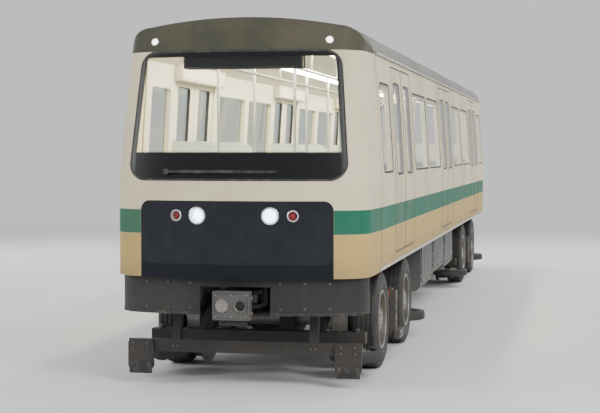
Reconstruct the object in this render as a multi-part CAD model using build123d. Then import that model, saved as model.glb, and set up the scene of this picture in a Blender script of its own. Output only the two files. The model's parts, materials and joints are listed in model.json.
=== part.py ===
"""End car of a driverless rubber-tyred metro train, at full size.

The car runs on eight rubber tyres on two bogies. A steel safety wheel sits inboard of each tyre, and four
horizontal guide wheels steer each bogie between the guide bars. The body is a hollow shell of flat-sided
panels: side walls, arched roof, floor, a rounded front mask with one large windscreen, and a rear wall with
a wide gangway. Three double plug doors a side sit flush in rebates of the side walls.

Millimetres. +X points to the front of the car, +Y to its left and +Z up. The origin lies on the running
surface below the middle of the car's length and width.
"""

from build123d import *
import math
import os

os.makedirs("parts", exist_ok=True)

# The whole car, from the front coupler's face to the rear gangway frame
car_length = 15380
coupler_reach = 90
gangway_reach = 230
mask_length = 1000
front_overhang = 2940
rear_overhang = 2440

# Wheels, from which the height of the body follows
axle_half_base = 1000
axle_radius = 75
tyre_radius = 490
tyre_centre = 990
tyre_width = 270
tyre_shoulder = 38
tyre_flats = 30
tyre_clearance = 60

# Body section
body_half = 1224
sill_tuck = 16
tuck_rise = 160
cantrail_lean = 74
shoulder_run = 245
waist_z = 1950
crown_z = 3440
cantrail_drop = 320
crown_radius = 5000
wall = 60
gutter = 22

# Floor and underframe
member_depth = 110
member_width = 90
member_pitch = 900
floor_thickness = 40
sole_inset = 90
rail_half = 400
rail_width = 70
bolster_half = 350

# Front mask, windscreen and lamps
mask_wall = 45
mask_taper = 24
corner_run = 250
bow_radius = 3200
screen_thickness = 12
screen_lap = 30
screen_foot = 15
screen_head = 5
screen_margin = 194
screen_lean = 95
screen_corner = 150
panel_margin = 319
panel_foot = 125
panel_head = 205
panel_corner = 90
panel_thickness = 12
lamp_depth = 60
lamp_drop = 135

# Doors and windows
door_width = 1650
door_head = 60
door_drop = 30
door_lap = 18
door_rebate = 36
front_door_setback = 1890
rear_door_setback = 2190
leaf_gap = 12
leaf_corner = 40
leaf_glass_width = 520
leaf_glass_foot = 10
leaf_glass_head = 160
glass_thickness = 8
glass_lap = 16
glass_corner = 70
window_foot = 40
window_head = 260
window_pillar = 170

# Gangway at the rear
gangway_half = 750
gangway_head = 125
gangway_radius = 140
gangway_frame_depth = 50
gangway_frame_width = 70
bellows_pleats = 4
bellows_fold = 45
bellows_thickness = 12
bellows_clearance = 15
bridge_thickness = 10
bridge_lap = 120

# Saloon
ceiling_drop = 205
ceiling_slope = 200
ceiling_flat_half = 760
ceiling_thickness = 22
light_y = 520
light_half = 85
light_thickness = 16
light_end = 60
seat_width = 860
seat_depth = 430
seat_height = 440
seat_back_height = 900
cushion_thickness = 90
back_thickness = 70
seat_leg = 60
leg_setback = 160
screen_reach = 500
screen_panel = 25
screen_panel_height = 1110
screen_offset = 30
pole_radius = 17

# Bogies and guide wheels
beam_width = 120
beam_depth = 130
beam_gap = 60
box_half = 110
box_cover = 20
pad_height = 25
spring_radius = 190
pivot_radius = 90
rim_radius = 300
safety_width = 145
safety_gap = 30
flange_width = 32
flange_gap = 20
tread_gap = 65
brake_clearance = 8
guide_reach = 790
guide_y = 975
guide_z = 232
guide_radius = 270
guide_width = 114
guide_shoulder = 20
guide_flats = 28
guide_pin = 45

# Couplers and underfloor equipment
coupler_z = 800
coupler_pin = 35
front_pin_setback = 710
rear_pin_setback = 610
tongue_half = 45
eye_radius = 90
case_inner = 330
case_outer = 1060
case_gap = 100
bogie_clearance = 480
tank_radius = 165

# Clearances
seat_gap = 0.3
running_gap = 0.1

# Places that follow from the sizes above
front_end = car_length / 2
rear_end = -car_length / 2
nose = front_end - coupler_reach
mask_rear = nose - mask_length
rear_wall_out = rear_end + gangway_reach
body_rear = rear_wall_out + wall
front_bogie_x = front_end - front_overhang
rear_bogie_x = rear_end + rear_overhang
sill_z = 2 * tyre_radius + tyre_clearance
tuck_z = sill_z + tuck_rise
cantrail_z = crown_z - cantrail_drop
sill_half = body_half - sill_tuck
cantrail_half = body_half - cantrail_lean
shoulder_half = cantrail_half - shoulder_run
inner_half = body_half - wall
floor_bottom = sill_z + member_depth
floor_top = floor_bottom + floor_thickness
ceiling_z = crown_z - ceiling_drop
bay_edge = door_width / 2
door_bottom = floor_top - door_drop
door_height = cantrail_z - door_head - door_bottom
front_door = mask_rear - front_door_setback
rear_door = body_rear + rear_door_setback
door_centres = [rear_door, (rear_door + front_door) / 2, front_door]
tyre_low = tyre_centre - tyre_width / 2
tyre_high = tyre_centre + tyre_width / 2
safety_back = tyre_low - safety_gap - safety_width
beam_half = safety_back - beam_gap - beam_width / 2
box_top = tyre_radius + axle_radius + box_cover
beam_bottom = box_top + pad_height
beam_top = beam_bottom + beam_depth
guide_x = axle_half_base + guide_reach


def save(name, *solids):
    """Writes one node from its solids."""
    shape = solids[0] if len(solids) == 1 else Compound(children=list(solids))
    export_step(shape, f"parts/{name}.step")


def block(x, y, z):
    """Box from three (low, high) pairs."""
    size = [high - low for low, high in (x, y, z)]
    middle = [(high + low) / 2 for low, high in (x, y, z)]
    return Pos(*middle) * Box(*size)


def span(middle, half):
    return (middle - half, middle + half)


def rod(start, end, radius):
    """Round bar between two points."""
    axis = Vector(*end) - Vector(*start)
    return extrude(Plane(origin=start, z_dir=axis) * Circle(radius), axis.length)


def profile(points, middle_y, width, rounding=0):
    """Plate of a given width, cut to an outline of (x, z) points."""
    outline = make_face(Polyline(*points, close=True))
    if rounding:
        outline = fillet(outline.vertices(), rounding)
    return extrude(Plane.XZ.offset(-middle_y) * outline, width / 2, both=True)


def flipped(solid):
    """The same piece on the other side of the car."""
    return mirror(solid, about=Plane.XZ)


# Cross-section of the body
crown_sag = crown_radius - math.sqrt(crown_radius**2 - shoulder_half**2)


def body_section(inset):
    """Outline of the body seen along the car, drawn inset from its outer skin and open to the ground."""
    shoulder_z = crown_z - crown_sag
    side = Polyline(
        (sill_half, 0),
        (sill_half, sill_z),
        (body_half, tuck_z),
        (body_half, waist_z),
        (cantrail_half, cantrail_z),
    )
    shoulder = TangentArc(side @ 1, (shoulder_half, shoulder_z), tangent=side % 1)
    crown = ThreePointArc((shoulder_half, shoulder_z), (0, crown_z), (-shoulder_half, shoulder_z))
    half = side + shoulder
    ground = Line((-sill_half, 0), (sill_half, 0))
    outline = make_face(half + crown + mirror(half, about=Plane.YZ) + ground)
    return offset(outline, amount=-inset) if inset else outline


def body_prism(inset, rear, front):
    """The body's section carried along the car from rear to front."""
    return extrude(Plane.YZ.offset(rear) * body_section(inset), front - rear)


# Front mask: a bowed plan with round corners, upright up to the waist and raked back in steps above it
mask_steps = [  # height, set back from the nose, half width
    (waist_z, 0, body_half),
    (cantrail_z, 0.2 * mask_length, cantrail_half),
    (crown_z - 110, 0.29 * mask_length, cantrail_half),
    (crown_z + 40, 0.46 * mask_length, cantrail_half),
]
brow_z = mask_steps[2][0]


def mask_plan(setback, half, inset):
    """Plan of the nose at one level: straight sides, round corners and a bowed front."""
    chord_half = half - corner_run - inset * (half - corner_run) / bow_radius
    radius = bow_radius - inset
    bow_angle = math.asin(chord_half / radius)
    tip = nose - setback - inset
    front_x = tip - radius * (1 - math.cos(bow_angle))
    side_y = half - inset - mask_taper
    corner = (side_y - chord_half) / (1 - math.sin(bow_angle))
    side_x = front_x - corner * math.cos(bow_angle)
    side = Line((mask_rear - inset, half - inset), (side_x, side_y))
    bend = TangentArc((side_x, side_y), (front_x, chord_half), tangent=(1, 0))
    bow = ThreePointArc((front_x, chord_half), (tip, 0), (front_x, -chord_half))
    half_outline = side + bend
    back = Line((mask_rear - inset, inset - half), (mask_rear - inset, half - inset))
    return make_face(half_outline + bow + mirror(half_outline, about=Plane.XZ) + back)


def nose_form(inset):
    """The nose drawn inset from its skin, before the roof's arch is cut on it."""
    form = Pos(0, 0, sill_z) * extrude(mask_plan(0, body_half, inset), waist_z - sill_z)
    levels = [Pos(0, 0, z) * mask_plan(setback, half, inset) for z, setback, half in mask_steps]
    for lower, upper in zip(levels, levels[1:]):
        form += loft([lower, upper], ruled=True)
    return form


def mask_solid(inset):
    """The nose as one solid, drawn inset from its outer skin."""
    return nose_form(inset) & body_prism(inset, mask_rear - inset, front_end)


def front_prism(outline):
    """An outline drawn in the YZ plane, carried forwards through the front of the mask."""
    return extrude(Plane.YZ.offset(mask_rear + mask_length / 3) * outline, mask_length)


def screen_outline(shrink):
    """Windscreen outline, a little narrower at the top, with round corners."""
    bottom = waist_z - screen_foot
    top = cantrail_z - screen_head
    half_bottom = body_half - screen_margin
    half_top = half_bottom - screen_lean
    corners = Polyline(
        (-half_bottom, bottom), (half_bottom, bottom), (half_top, top), (-half_top, top), close=True
    )
    face = make_face(corners)
    face = fillet(face.vertices(), screen_corner)
    return offset(face, amount=-shrink) if shrink else face


panel_bottom = sill_z + panel_foot
panel_top = waist_z - panel_head


def panel_outline(shrink):
    """Outline of the dark panel that holds the lamps."""
    width = 2 * (body_half - panel_margin - shrink)
    height = panel_top - panel_bottom - 2 * shrink
    return Pos(0, (panel_bottom + panel_top) / 2) * RectangleRounded(width, height, panel_corner - shrink)


lamps = {  # side distance, height, radius
    "head": (340, panel_top - lamp_drop, 72),
    "tail": (545, panel_top - lamp_drop, 48),
    "marker": (830, brow_z - 115, 34),
}


def lamp_drums(name, grow=0):
    """Round prisms through the front at one kind of lamp, left and right."""
    y, z, radius = lamps[name]
    return [front_prism(Pos(side * y, z) * Circle(radius + grow)) for side in (1, -1)]


skin = mask_solid(0)
liner = mask_solid(mask_wall)
under_glass = mask_solid(screen_thickness + seat_gap)
lamp_bed = mask_solid(lamp_depth)
lining_space = mask_solid(lamp_depth + seat_gap)

mask = skin - liner
mask -= front_prism(screen_outline(0)) - under_glass
mask -= front_prism(screen_outline(screen_lap))
mask -= front_prism(panel_outline(0)) - under_glass
for name in lamps:
    for drum in lamp_drums(name, seat_gap):
        mask -= drum
save("front_mask", mask)

windscreen = (skin - mask_solid(screen_thickness)) & front_prism(screen_outline(seat_gap))
save("windscreen", windscreen)

lamp_panel = (skin - mask_solid(panel_thickness)) & front_prism(panel_outline(seat_gap))
for drum in lamp_drums("head", seat_gap) + lamp_drums("tail", seat_gap):
    lamp_panel -= drum
save("lamp_panel", lamp_panel)

lamp_space = skin - lamp_bed
save("headlamps", *[drum & lamp_space for drum in lamp_drums("head")])
save("tail_lamps", *[drum & lamp_space for drum in lamp_drums("tail") + lamp_drums("marker")])

# The wiper lies along the dark band at the foot of the windscreen and follows its bow
wiper_z = waist_z + 60
spindle_y = -640
spindle_radius = 26
blade_half = 460
blade_shift = -60
blade_height = 16
arm_height = 22


def wiper_layer(near, far, y, z):
    """Strip of the space between two distances in front of the mask's skin."""
    strip = block((nose - mask_length / 2, front_end), y, z)
    return (nose_form(-far) - nose_form(-near)) & strip


blade = wiper_layer(seat_gap, 22, span(blade_shift, blade_half), span(wiper_z, blade_height / 2))
arm = wiper_layer(20, 32, (spindle_y, 0), span(wiper_z, arm_height / 2))
boss = wiper_layer(seat_gap, 38, span(spindle_y, spindle_radius), span(wiper_z, spindle_radius))
boss &= front_prism(Pos(spindle_y, wiper_z) * Circle(spindle_radius))
save("wiper", arm + blade + boss)


# Side walls, doors and side windows, drawn on the left and mirrored
def side_prism(middle_x, low_z, height, width, radius, shrink=0):
    """Rounded rectangle seen from the side, shrunk all round and carried outwards through the left wall."""
    outline = RectangleRounded(width - 2 * shrink, height - 2 * shrink, radius - shrink)
    return extrude(Plane.XZ * (Pos(middle_x, low_z + height / 2) * outline), -2 * body_half)


window_z = waist_z + window_foot
window_height = cantrail_z - window_head - window_z
windows = []  # middle x, low z, height, width, corner radius
for behind, ahead in zip(door_centres, door_centres[1:]):
    pane_width = (ahead - behind - door_width - 3 * window_pillar) / 2
    for side in (-1, 1):
        middle = (behind + ahead) / 2 + side * (pane_width + window_pillar) / 2
        windows.append((middle, window_z, window_height, pane_width, glass_corner))
for low_x, high_x in ((body_rear, rear_door - bay_edge), (front_door + bay_edge, mask_rear)):
    pane_width = high_x - low_x - 2 * window_pillar
    windows.append(((low_x + high_x) / 2, window_z, window_height, pane_width, glass_corner))

outer = body_prism(0, body_rear, mask_rear)
inner = body_prism(wall, body_rear, mask_rear)
door_bed = body_prism(door_rebate, body_rear, mask_rear)
glass_bed = body_prism(glass_thickness + seat_gap, body_rear, mask_rear)
left_side = block((body_rear, mask_rear), (0, 2 * body_half), (sill_z, cantrail_z))
above_floor = block((body_rear, mask_rear), (0, 2 * body_half), (floor_top, cantrail_z))

side_wall = (outer - inner) & left_side
for middle in door_centres:
    doorway = (middle, door_bottom, door_height, door_width, leaf_corner)
    side_wall -= side_prism(*doorway) - door_bed
    side_wall -= side_prism(*doorway, door_lap) & above_floor
for window in windows:
    side_wall -= side_prism(*window) - glass_bed
    side_wall -= side_prism(*window, glass_lap)
save("side_wall_left", side_wall)
save("side_wall_right", flipped(side_wall))

leaf_skin = outer - body_prism(door_rebate - seat_gap, body_rear, mask_rear)
glass_skin = outer - body_prism(glass_thickness, body_rear, mask_rear)
leaf_width = (door_width - leaf_gap) / 2
light_z = waist_z + leaf_glass_foot
light_height = door_bottom + door_height - leaf_glass_head - light_z
leaves = []
panes = []
for middle in door_centres:
    for side in (-1, 1):
        leaf_x = middle + side * (leaf_width + leaf_gap) / 2
        light = (leaf_x, light_z, light_height, leaf_glass_width, glass_corner)
        leaf = leaf_skin & side_prism(leaf_x, door_bottom, door_height, leaf_width, leaf_corner, seat_gap)
        leaves.append(leaf - (side_prism(*light) - glass_bed) - side_prism(*light, glass_lap))
        panes.append(glass_skin & side_prism(*light, seat_gap))
for window in windows:
    panes.append(glass_skin & side_prism(*window, seat_gap))
save("door_leaves_left", *leaves)
save("door_leaves_right", *[flipped(leaf) for leaf in leaves])
save("side_glass_left", *panes)
save("side_glass_right", *[flipped(pane) for pane in panes])

# Roof with its rain gutters
roof_zone = block((body_rear, mask_rear), (-body_half, body_half), (cantrail_z, crown_z))
roof = (outer - inner) & roof_zone
for side in (-1, 1):
    edge = side * (cantrail_half - 2)
    lip = sorted((edge, edge + side * gutter))
    roof += block((body_rear, mask_rear), lip, (cantrail_z, cantrail_z + gutter))
save("roof_shell", roof)

# Ventilation hoods along the crown of the roof
vent_count = 4
vent_pitch = 3200
vent_half = 430
vent_length = 1700
vent_rise = 30
vent_edge = 24
slat_pitch = 160
slat_width = 90
vent_sag = crown_radius - math.sqrt(crown_radius**2 - vent_half**2)
vent_top = crown_z + vent_rise
saloon_middle = (body_rear + mask_rear) / 2
vents = []
for k in range(vent_count):
    middle = saloon_middle + (k - (vent_count - 1) / 2) * vent_pitch
    sides = (-vent_half, vent_half)
    hood = block(span(middle, vent_length / 2), sides, (crown_z - vent_sag - vent_rise, vent_top))
    hood = chamfer(hood.faces().sort_by(Axis.Z)[-1].edges(), vent_edge)
    hood -= outer
    slots = int((vent_length - slat_pitch) / slat_pitch)
    for n in range(slots):
        slot_x = middle + (n - (slots - 1) / 2) * slat_pitch
        slot_y = span(0, vent_half - 2 * vent_edge)
        hood -= block(span(slot_x, slat_width / 2), slot_y, (vent_top - vent_rise / 2, vent_top))
    vents.append(hood)
save("roof_vents", *vents)

# Floor, with its front end rounded to the mask
floor_setback = 220
front_half = block((mask_rear, front_end), (-body_half, body_half), (0, vent_top))
floor = block((body_rear, nose - floor_setback), (-body_half, body_half), (floor_bottom, floor_top))
save("floor", floor & (inner + (liner & front_half)))

# Underframe: two sole bars tied by cross-members, and two inner rails that carry the equipment
frame_setback = 590
frame_front = nose - frame_setback
sole_half = inner_half - sole_inset
frame_depth = (sill_z, floor_bottom)
underframe = block((body_rear, frame_front), (sole_half - member_width, sole_half), frame_depth)
underframe += block((rear_bogie_x, front_bogie_x), (rail_half - rail_width, rail_half), frame_depth)
underframe += flipped(underframe)
member_count = round((frame_front - body_rear) / member_pitch)
member_step = (frame_front - body_rear - member_width) / member_count
for k in range(member_count + 1):
    x = body_rear + k * member_step
    underframe += block((x, x + member_width), (-sole_half, sole_half), frame_depth)
for x in (front_bogie_x, rear_bogie_x):
    underframe -= block(span(x, bolster_half), (-body_half, body_half), frame_depth)
save("underframe", *underframe.solids())

# Body bolsters, each with the pivot that its bogie turns on
pivot_reach = 120
bolsters = []
for x in (front_bogie_x, rear_bogie_x):
    bolster = block(span(x, bolster_half), (-sole_half, sole_half), frame_depth)
    bolsters.append(bolster + rod((x, 0, sill_z), (x, 0, beam_top - pivot_reach), pivot_radius))
save("bolsters", *bolsters)

# Draft gear: a clevis with a vertical pin under each end of the body
clevis_half = 130
clevis_wall = 40
clevis_reach = 110
clevis_back = 260
clevis_plate = 60
front_pin_x = front_end - front_pin_setback
rear_pin_x = rear_end + rear_pin_setback
lower_ear = coupler_z - tongue_half - seat_gap - clevis_wall
upper_ear = coupler_z + tongue_half + seat_gap
draft_gear = []
for x, ahead, frame_end in ((front_pin_x, 1, frame_front), (rear_pin_x, -1, body_rear)):
    width = (-clevis_half, clevis_half)
    back = x - ahead * clevis_back
    gear = block(sorted((back, frame_end)), width, (sill_z - clevis_plate, sill_z))
    gear += block(sorted((back, x - ahead * clevis_reach)), width, (lower_ear, sill_z))
    for low_z in (lower_ear, upper_ear):
        ear = block(span(x, clevis_reach), width, (low_z, low_z + clevis_wall))
        gear += fillet(ear.edges().filter_by(Axis.Z), clevis_half / 2)
    gear += rod((x, 0, lower_ear - 15), (x, 0, upper_ear + clevis_wall + 15), coupler_pin)
    draft_gear.append(gear)
save("draft_gear", *draft_gear)

# Rear wall, bellows, gangway frame and bridge plate
gangway_height = ceiling_z - gangway_head - floor_top
gangway_middle = floor_top + gangway_height / 2


def gangway_outline(grow):
    """Gangway opening, grown outwards by the given amount."""
    rounded = RectangleRounded(2 * (gangway_half + grow), gangway_height + 2 * grow, gangway_radius + grow)
    return Pos(0, gangway_middle) * rounded


rear_wall = body_prism(0, rear_wall_out, body_rear)
rear_wall &= block((rear_wall_out, body_rear), (-body_half, body_half), (sill_z, vent_top))
rear_wall -= extrude(Plane.YZ.offset(rear_wall_out) * gangway_outline(0), wall)
save("rear_wall", rear_wall)

bellows_rear = rear_end + gangway_frame_depth
pleat = (rear_wall_out - bellows_rear) / (2 * bellows_pleats)


def concertina(grow):
    """Pleated tube round the gangway with cut corners, alternately narrow and wide."""
    rings = []
    for k in range(2 * bellows_pleats + 1):
        spread = grow + (bellows_fold if k % 2 else 0)
        ring = Rectangle(2 * (gangway_half + spread), gangway_height + 2 * spread)
        ring = Pos(0, gangway_middle) * chamfer(ring.vertices(), gangway_radius)
        rings.append(Plane.YZ.offset(bellows_rear + k * pleat) * ring)
    return loft(rings, ruled=True)


save("gangway_bellows", concertina(bellows_clearance + bellows_thickness) - concertina(bellows_clearance))
ring = gangway_outline(gangway_frame_width) - gangway_outline(0)
save("gangway_frame", extrude(Plane.YZ.offset(rear_end) * ring, gangway_frame_depth))

bridge_half = gangway_half - gangway_radius
bridge_level = (floor_top, floor_top + bridge_thickness)
save("bridge_plate", block((rear_end, body_rear + bridge_lap), (-bridge_half, bridge_half), bridge_level))

# Ceiling with its light strips
ceiling_setback = 400
ceiling_front = nose - ceiling_setback
half_ceiling = [  # y, z of the lower face and then of the upper face
    (body_half, ceiling_z - ceiling_slope),
    (ceiling_flat_half, ceiling_z),
]
lower_line = [(-y, z) for y, z in half_ceiling] + half_ceiling[::-1]
upper_line = [(y, z + ceiling_thickness) for y, z in lower_line[::-1]]
ceiling_face = make_face(Polyline(*lower_line, *upper_line, close=True))
ceiling = extrude(Plane.YZ.offset(body_rear) * ceiling_face, ceiling_front - body_rear)
save("ceiling", ceiling & (inner + (lining_space & front_half)))
lights = []
for side in (-1, 1):
    light_zone = (body_rear + light_end, ceiling_front - light_end)
    lights.append(block(light_zone, span(side * light_y, light_half), (ceiling_z - light_thickness, ceiling_z)))
save("ceiling_lights", *lights)

# Draught screens beside the doors, with a pole at the free edge of each and one in each vestibule
screen_top_corner = 150
screens = []
poles = []
pole_y = inner_half - screen_reach - pole_radius - seat_gap
for middle in door_centres:
    poles.append(rod((middle, 0, floor_top), (middle, 0, ceiling_z), pole_radius))
    for end in (-1, 1):
        x = middle + end * (bay_edge + screen_offset)
        panel_level = (floor_top, floor_top + screen_panel_height)
        panel = block(span(x, screen_panel / 2), (inner_half - screen_reach, body_half), panel_level)
        inner_top = panel.edges().filter_by(Axis.X).group_by(Axis.Z)[-1].sort_by(Axis.Y)[0]
        panel = fillet(inner_top, screen_top_corner) & inner
        screens += [panel, flipped(panel)]
        for side in (-1, 1):
            poles.append(rod((x, side * pole_y, floor_top), (x, side * pole_y, ceiling_z), pole_radius))
save("door_screens", *screens)
save("grab_poles", *poles)

# Seats for two, back to back between the doors and with their backs to the screens
cushion_bottom = floor_top + seat_height - cushion_thickness
screen_face = bay_edge + screen_offset + pole_radius + seat_gap
back_spacing = 15
seat_rows = []  # x of the seat's back, direction it faces
for behind, ahead in zip(door_centres, door_centres[1:]):
    bay_middle = (behind + ahead) / 2
    seat_rows.append((behind + screen_face, 1))
    seat_rows.append((bay_middle - back_spacing, -1))
    seat_rows.append((bay_middle + back_spacing, 1))
    seat_rows.append((ahead - screen_face, -1))
seat_rows.append((rear_door - screen_face, -1))
seat_rows.append((front_door + screen_face, 1))
bench_points = [  # x from the seat's back, z
    (0, cushion_bottom),
    (seat_depth, cushion_bottom),
    (seat_depth, cushion_bottom + cushion_thickness),
    (back_thickness + 20, cushion_bottom + cushion_thickness - 20),
    (back_thickness, floor_top + seat_back_height),
    (0, floor_top + seat_back_height),
]
seat_middle = inner_half - seat_width / 2
leg_zone = (leg_setback, leg_setback + seat_leg)
bench = profile(bench_points, seat_middle, seat_width)
bench += block(leg_zone, span(seat_middle, seat_leg / 2), (floor_top, cushion_bottom))
seats = []
for back_x, facing in seat_rows:
    turned_bench = bench if facing > 0 else mirror(bench, about=Plane.YZ)
    placed = (Pos(back_x, 0, 0) * turned_bench) & inner
    seats += [placed, flipped(placed)]
save("seats", *seats)

# Front console behind the lamp panel, and the blank destination display under the ceiling
console_depth = 480
console_drop = 25
console_zone = (nose - console_depth, front_end)
console = block(console_zone, (-body_half, body_half), (floor_top, waist_z - console_drop))
save("front_console", console & lining_space)

display_half = 560
display_depth = 140
display_drop = 145
display_height = 120
stem_half = 20
stem_y = 400
display_top = ceiling_z - display_drop
display_zone = (ceiling_front - display_depth, ceiling_front)
display = block(display_zone, (-display_half, display_half), (display_top - display_height, display_top))
for side in (-1, 1):
    stem_x = ceiling_front - display_depth / 2
    display += block(span(stem_x, stem_half), span(side * stem_y, stem_half), (display_top, ceiling_z))
save("destination_display", display)

# Skirt below the mask, and the obstacle guard ahead of the front bogie
skirt_height = 340
skirt_setback = 60
skirt_inset = 12
skirt_wall = 24
skirt_length = 480
coupler_cut_half = 330
coupler_cut_height = 260
skirt_z = sill_z - skirt_height
skirt_half = sill_half - skirt_inset
skirt_ring = mask_plan(skirt_setback, skirt_half, 0) - mask_plan(skirt_setback, skirt_half, skirt_wall)
skirt = Pos(0, 0, skirt_z) * extrude(skirt_ring, skirt_height)
skirt_zone = (nose - skirt_setback - skirt_length, front_end)
cut_zone = (nose - skirt_setback - skirt_length / 2, front_end)
skirt &= block(skirt_zone, (-body_half, body_half), (skirt_z, sill_z))
skirt -= block(cut_zone, (-coupler_cut_half, coupler_cut_half), (skirt_z, skirt_z + coupler_cut_height))
save("front_skirt", skirt)

guard_setback = 450
guard_z = 300
guard_height = 120
guard_half = 1120
guard_bar = 40
wing_width = 250
wing_wall = 30
wing_bottom = 130
wing_corner = 45
bracket_y = 660
bracket_width = 80
guard_x = nose - guard_setback
guard_top = guard_z + guard_height
guard = block(span(guard_x, guard_bar / 2), (-guard_half, guard_half), (guard_z, guard_top))
bracket_points = [  # x, z
    (frame_front - member_width, sill_z),
    (frame_front, sill_z),
    (guard_x + guard_bar / 2, guard_top),
    (guard_x + guard_bar / 2, guard_z),
    (guard_x - guard_bar, guard_z),
]
wing_middle = (wing_bottom + guard_top) / 2
for side in (-1, 1):
    wing_y = side * (guard_half - wing_width / 2)
    wing = Pos(wing_y, wing_middle) * RectangleRounded(wing_width, guard_top - wing_bottom, wing_corner)
    guard += extrude(Plane.YZ.offset(guard_x + guard_bar / 2) * wing, wing_wall)
    guard += profile(bracket_points, side * bracket_y, bracket_width)
save("obstacle_guard", guard)

# Underfloor equipment between the bogies: two rows of cases, and air tanks on cradles
case_chamfer = 60
lid_inset = 70
lid_depth = 12
zone_end = guide_x + guide_radius + bogie_clearance
zone_rear = rear_bogie_x + zone_end
zone_length = front_bogie_x - zone_end - zone_rear
cases = {  # for each side, the length of each case as a share of the zone and its depth, from the rear
    1: [(0.28, 620), (0.31, 570), (0.28, 640)],
    -1: [(0.31, 640), (0.29, 570)],
}
boxes = []
row_ends = {}
for side, row in cases.items():
    rear_x = zone_rear
    for share, depth in row:
        length = share * zone_length
        low_z = sill_z - depth
        case = block((rear_x, rear_x + length), (case_inner, case_outer), (low_z, sill_z))
        case = chamfer(case.edges().filter_by(Axis.X).group_by(Axis.Z)[0], case_chamfer)
        lid_x = (rear_x + lid_inset, rear_x + length - lid_inset)
        lid_z = (low_z + case_chamfer + lid_inset, sill_z - lid_inset)
        case += block(lid_x, (case_outer, case_outer + lid_depth), lid_z)
        boxes.append(case if side > 0 else flipped(case))
        rear_x += length + case_gap
    row_ends[side] = rear_x
save("equipment_cases", *boxes)

tank_drop = 280
tank_share = 0.24
tank_lines = (-520, -880)
cradle_inset = 200
cradle_half = 30
cradle_depth = 40
tank_z = sill_z - tank_drop
tank_zone = (row_ends[-1], row_ends[-1] + tank_share * zone_length)
tanks = Part()
for y in tank_lines:
    tanks += rod((tank_zone[0], y, tank_z), (tank_zone[1], y, tank_z), tank_radius)
for x in (tank_zone[0] + cradle_inset, tank_zone[1] - cradle_inset):
    tanks += block(span(x, cradle_half), (-case_outer, -case_inner), (sill_z - cradle_depth, sill_z))
    for y in tank_lines:
        tanks += block(span(x, cradle_half), span(y, cradle_half), (tank_z, sill_z - cradle_depth))
save("air_tanks", tanks)

# Bogies
end_beam_half = 70
end_beam_depth = 110
guide_headroom = 51
collar_depth = 35
collar_width = 30
transom_x = 260
transom_half = 80
centre_half = 200
centre_rise = 30
motor_x = 600
motor_radius = 185
motor_length = 400
motor_bell = 60
motor_step = 35
motor_lug = 70
lug_inset = 20
gear_radius = 215
gear_inner = 90
gear_width = 150
gear_clearance = 10
end_beam_z = guide_z + guide_width / 2 + guide_headroom
end_beam_level = (end_beam_z, end_beam_z + end_beam_depth)
collar_top = guide_z - guide_width / 2 - seat_gap


def side_beam():
    """Cranked side beam: level over the axle boxes and dropped at both ends to the guide wheels."""
    outline = [  # x, z of the front half, from the top round to the bottom
        (axle_half_base + 130, beam_top),
        (axle_half_base + 420, beam_bottom),
        (guide_x - 160, end_beam_level[1]),
        (guide_x + end_beam_half, end_beam_level[1]),
        (guide_x + end_beam_half, end_beam_level[0]),
        (guide_x - 210, end_beam_level[0]),
        (axle_half_base + 370, beam_bottom - beam_depth),
        (axle_half_base + 120, beam_bottom),
    ]
    outline += [(-x, z) for x, z in reversed(outline)]
    return profile(outline, beam_half, beam_width, end_beam_half / 2)


def tread_brake(end, side):
    """Brake unit hung from the side beam, with a block shaped to the tread of the safety wheel."""
    tread_radius = tyre_radius - tread_gap
    face_x = end * (axle_half_base - tread_radius)
    back_x = face_x - end * 190
    inner_y = side * (safety_back + flange_width + brake_clearance)
    outer_y = side * (safety_back + safety_width)
    beam_face = side * (beam_half + beam_width / 2)
    unit = block(sorted((back_x, face_x + end * 20)), sorted((inner_y, outer_y)), span(tyre_radius, 90))
    axle_x = end * axle_half_base
    wheel = rod((axle_x, inner_y, tyre_radius), (axle_x, outer_y, tyre_radius), tread_radius + brake_clearance)
    hanger_x = sorted((back_x, back_x + end * 100))
    hanger = block(hanger_x, sorted((beam_face, inner_y)), (tyre_radius - 60, beam_top - 30))
    return unit - wheel + hanger


def drive():
    """Motor across the front of the bogie, hung from the transom, with its gear case round the axle."""
    motor_end = gear_inner - motor_length
    bell_end = motor_end - motor_bell
    wheels = [Pos(axle_half_base, tyre_radius) * Circle(gear_radius)]
    wheels.append(Pos(motor_x, tyre_radius) * Circle(motor_radius - motor_step))
    case = make_hull([wheel.edge() for wheel in wheels])
    unit = extrude(Plane.XZ.offset(-gear_inner) * case, -gear_width)
    unit += rod((motor_x, motor_end, tyre_radius), (motor_x, gear_inner, tyre_radius), motor_radius)
    unit += rod((motor_x, bell_end, tyre_radius), (motor_x, motor_end, tyre_radius), motor_radius - motor_step)
    for y in (motor_end + motor_lug, gear_inner - motor_lug):
        lug_level = (beam_bottom + lug_inset, beam_top - lug_inset)
        unit += block((transom_x, motor_x), span(y, motor_lug / 2), lug_level)
    axle_ends = [(axle_half_base, y, tyre_radius) for y in (gear_inner, gear_inner + gear_width)]
    return unit - rod(*axle_ends, axle_radius + gear_clearance)


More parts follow.
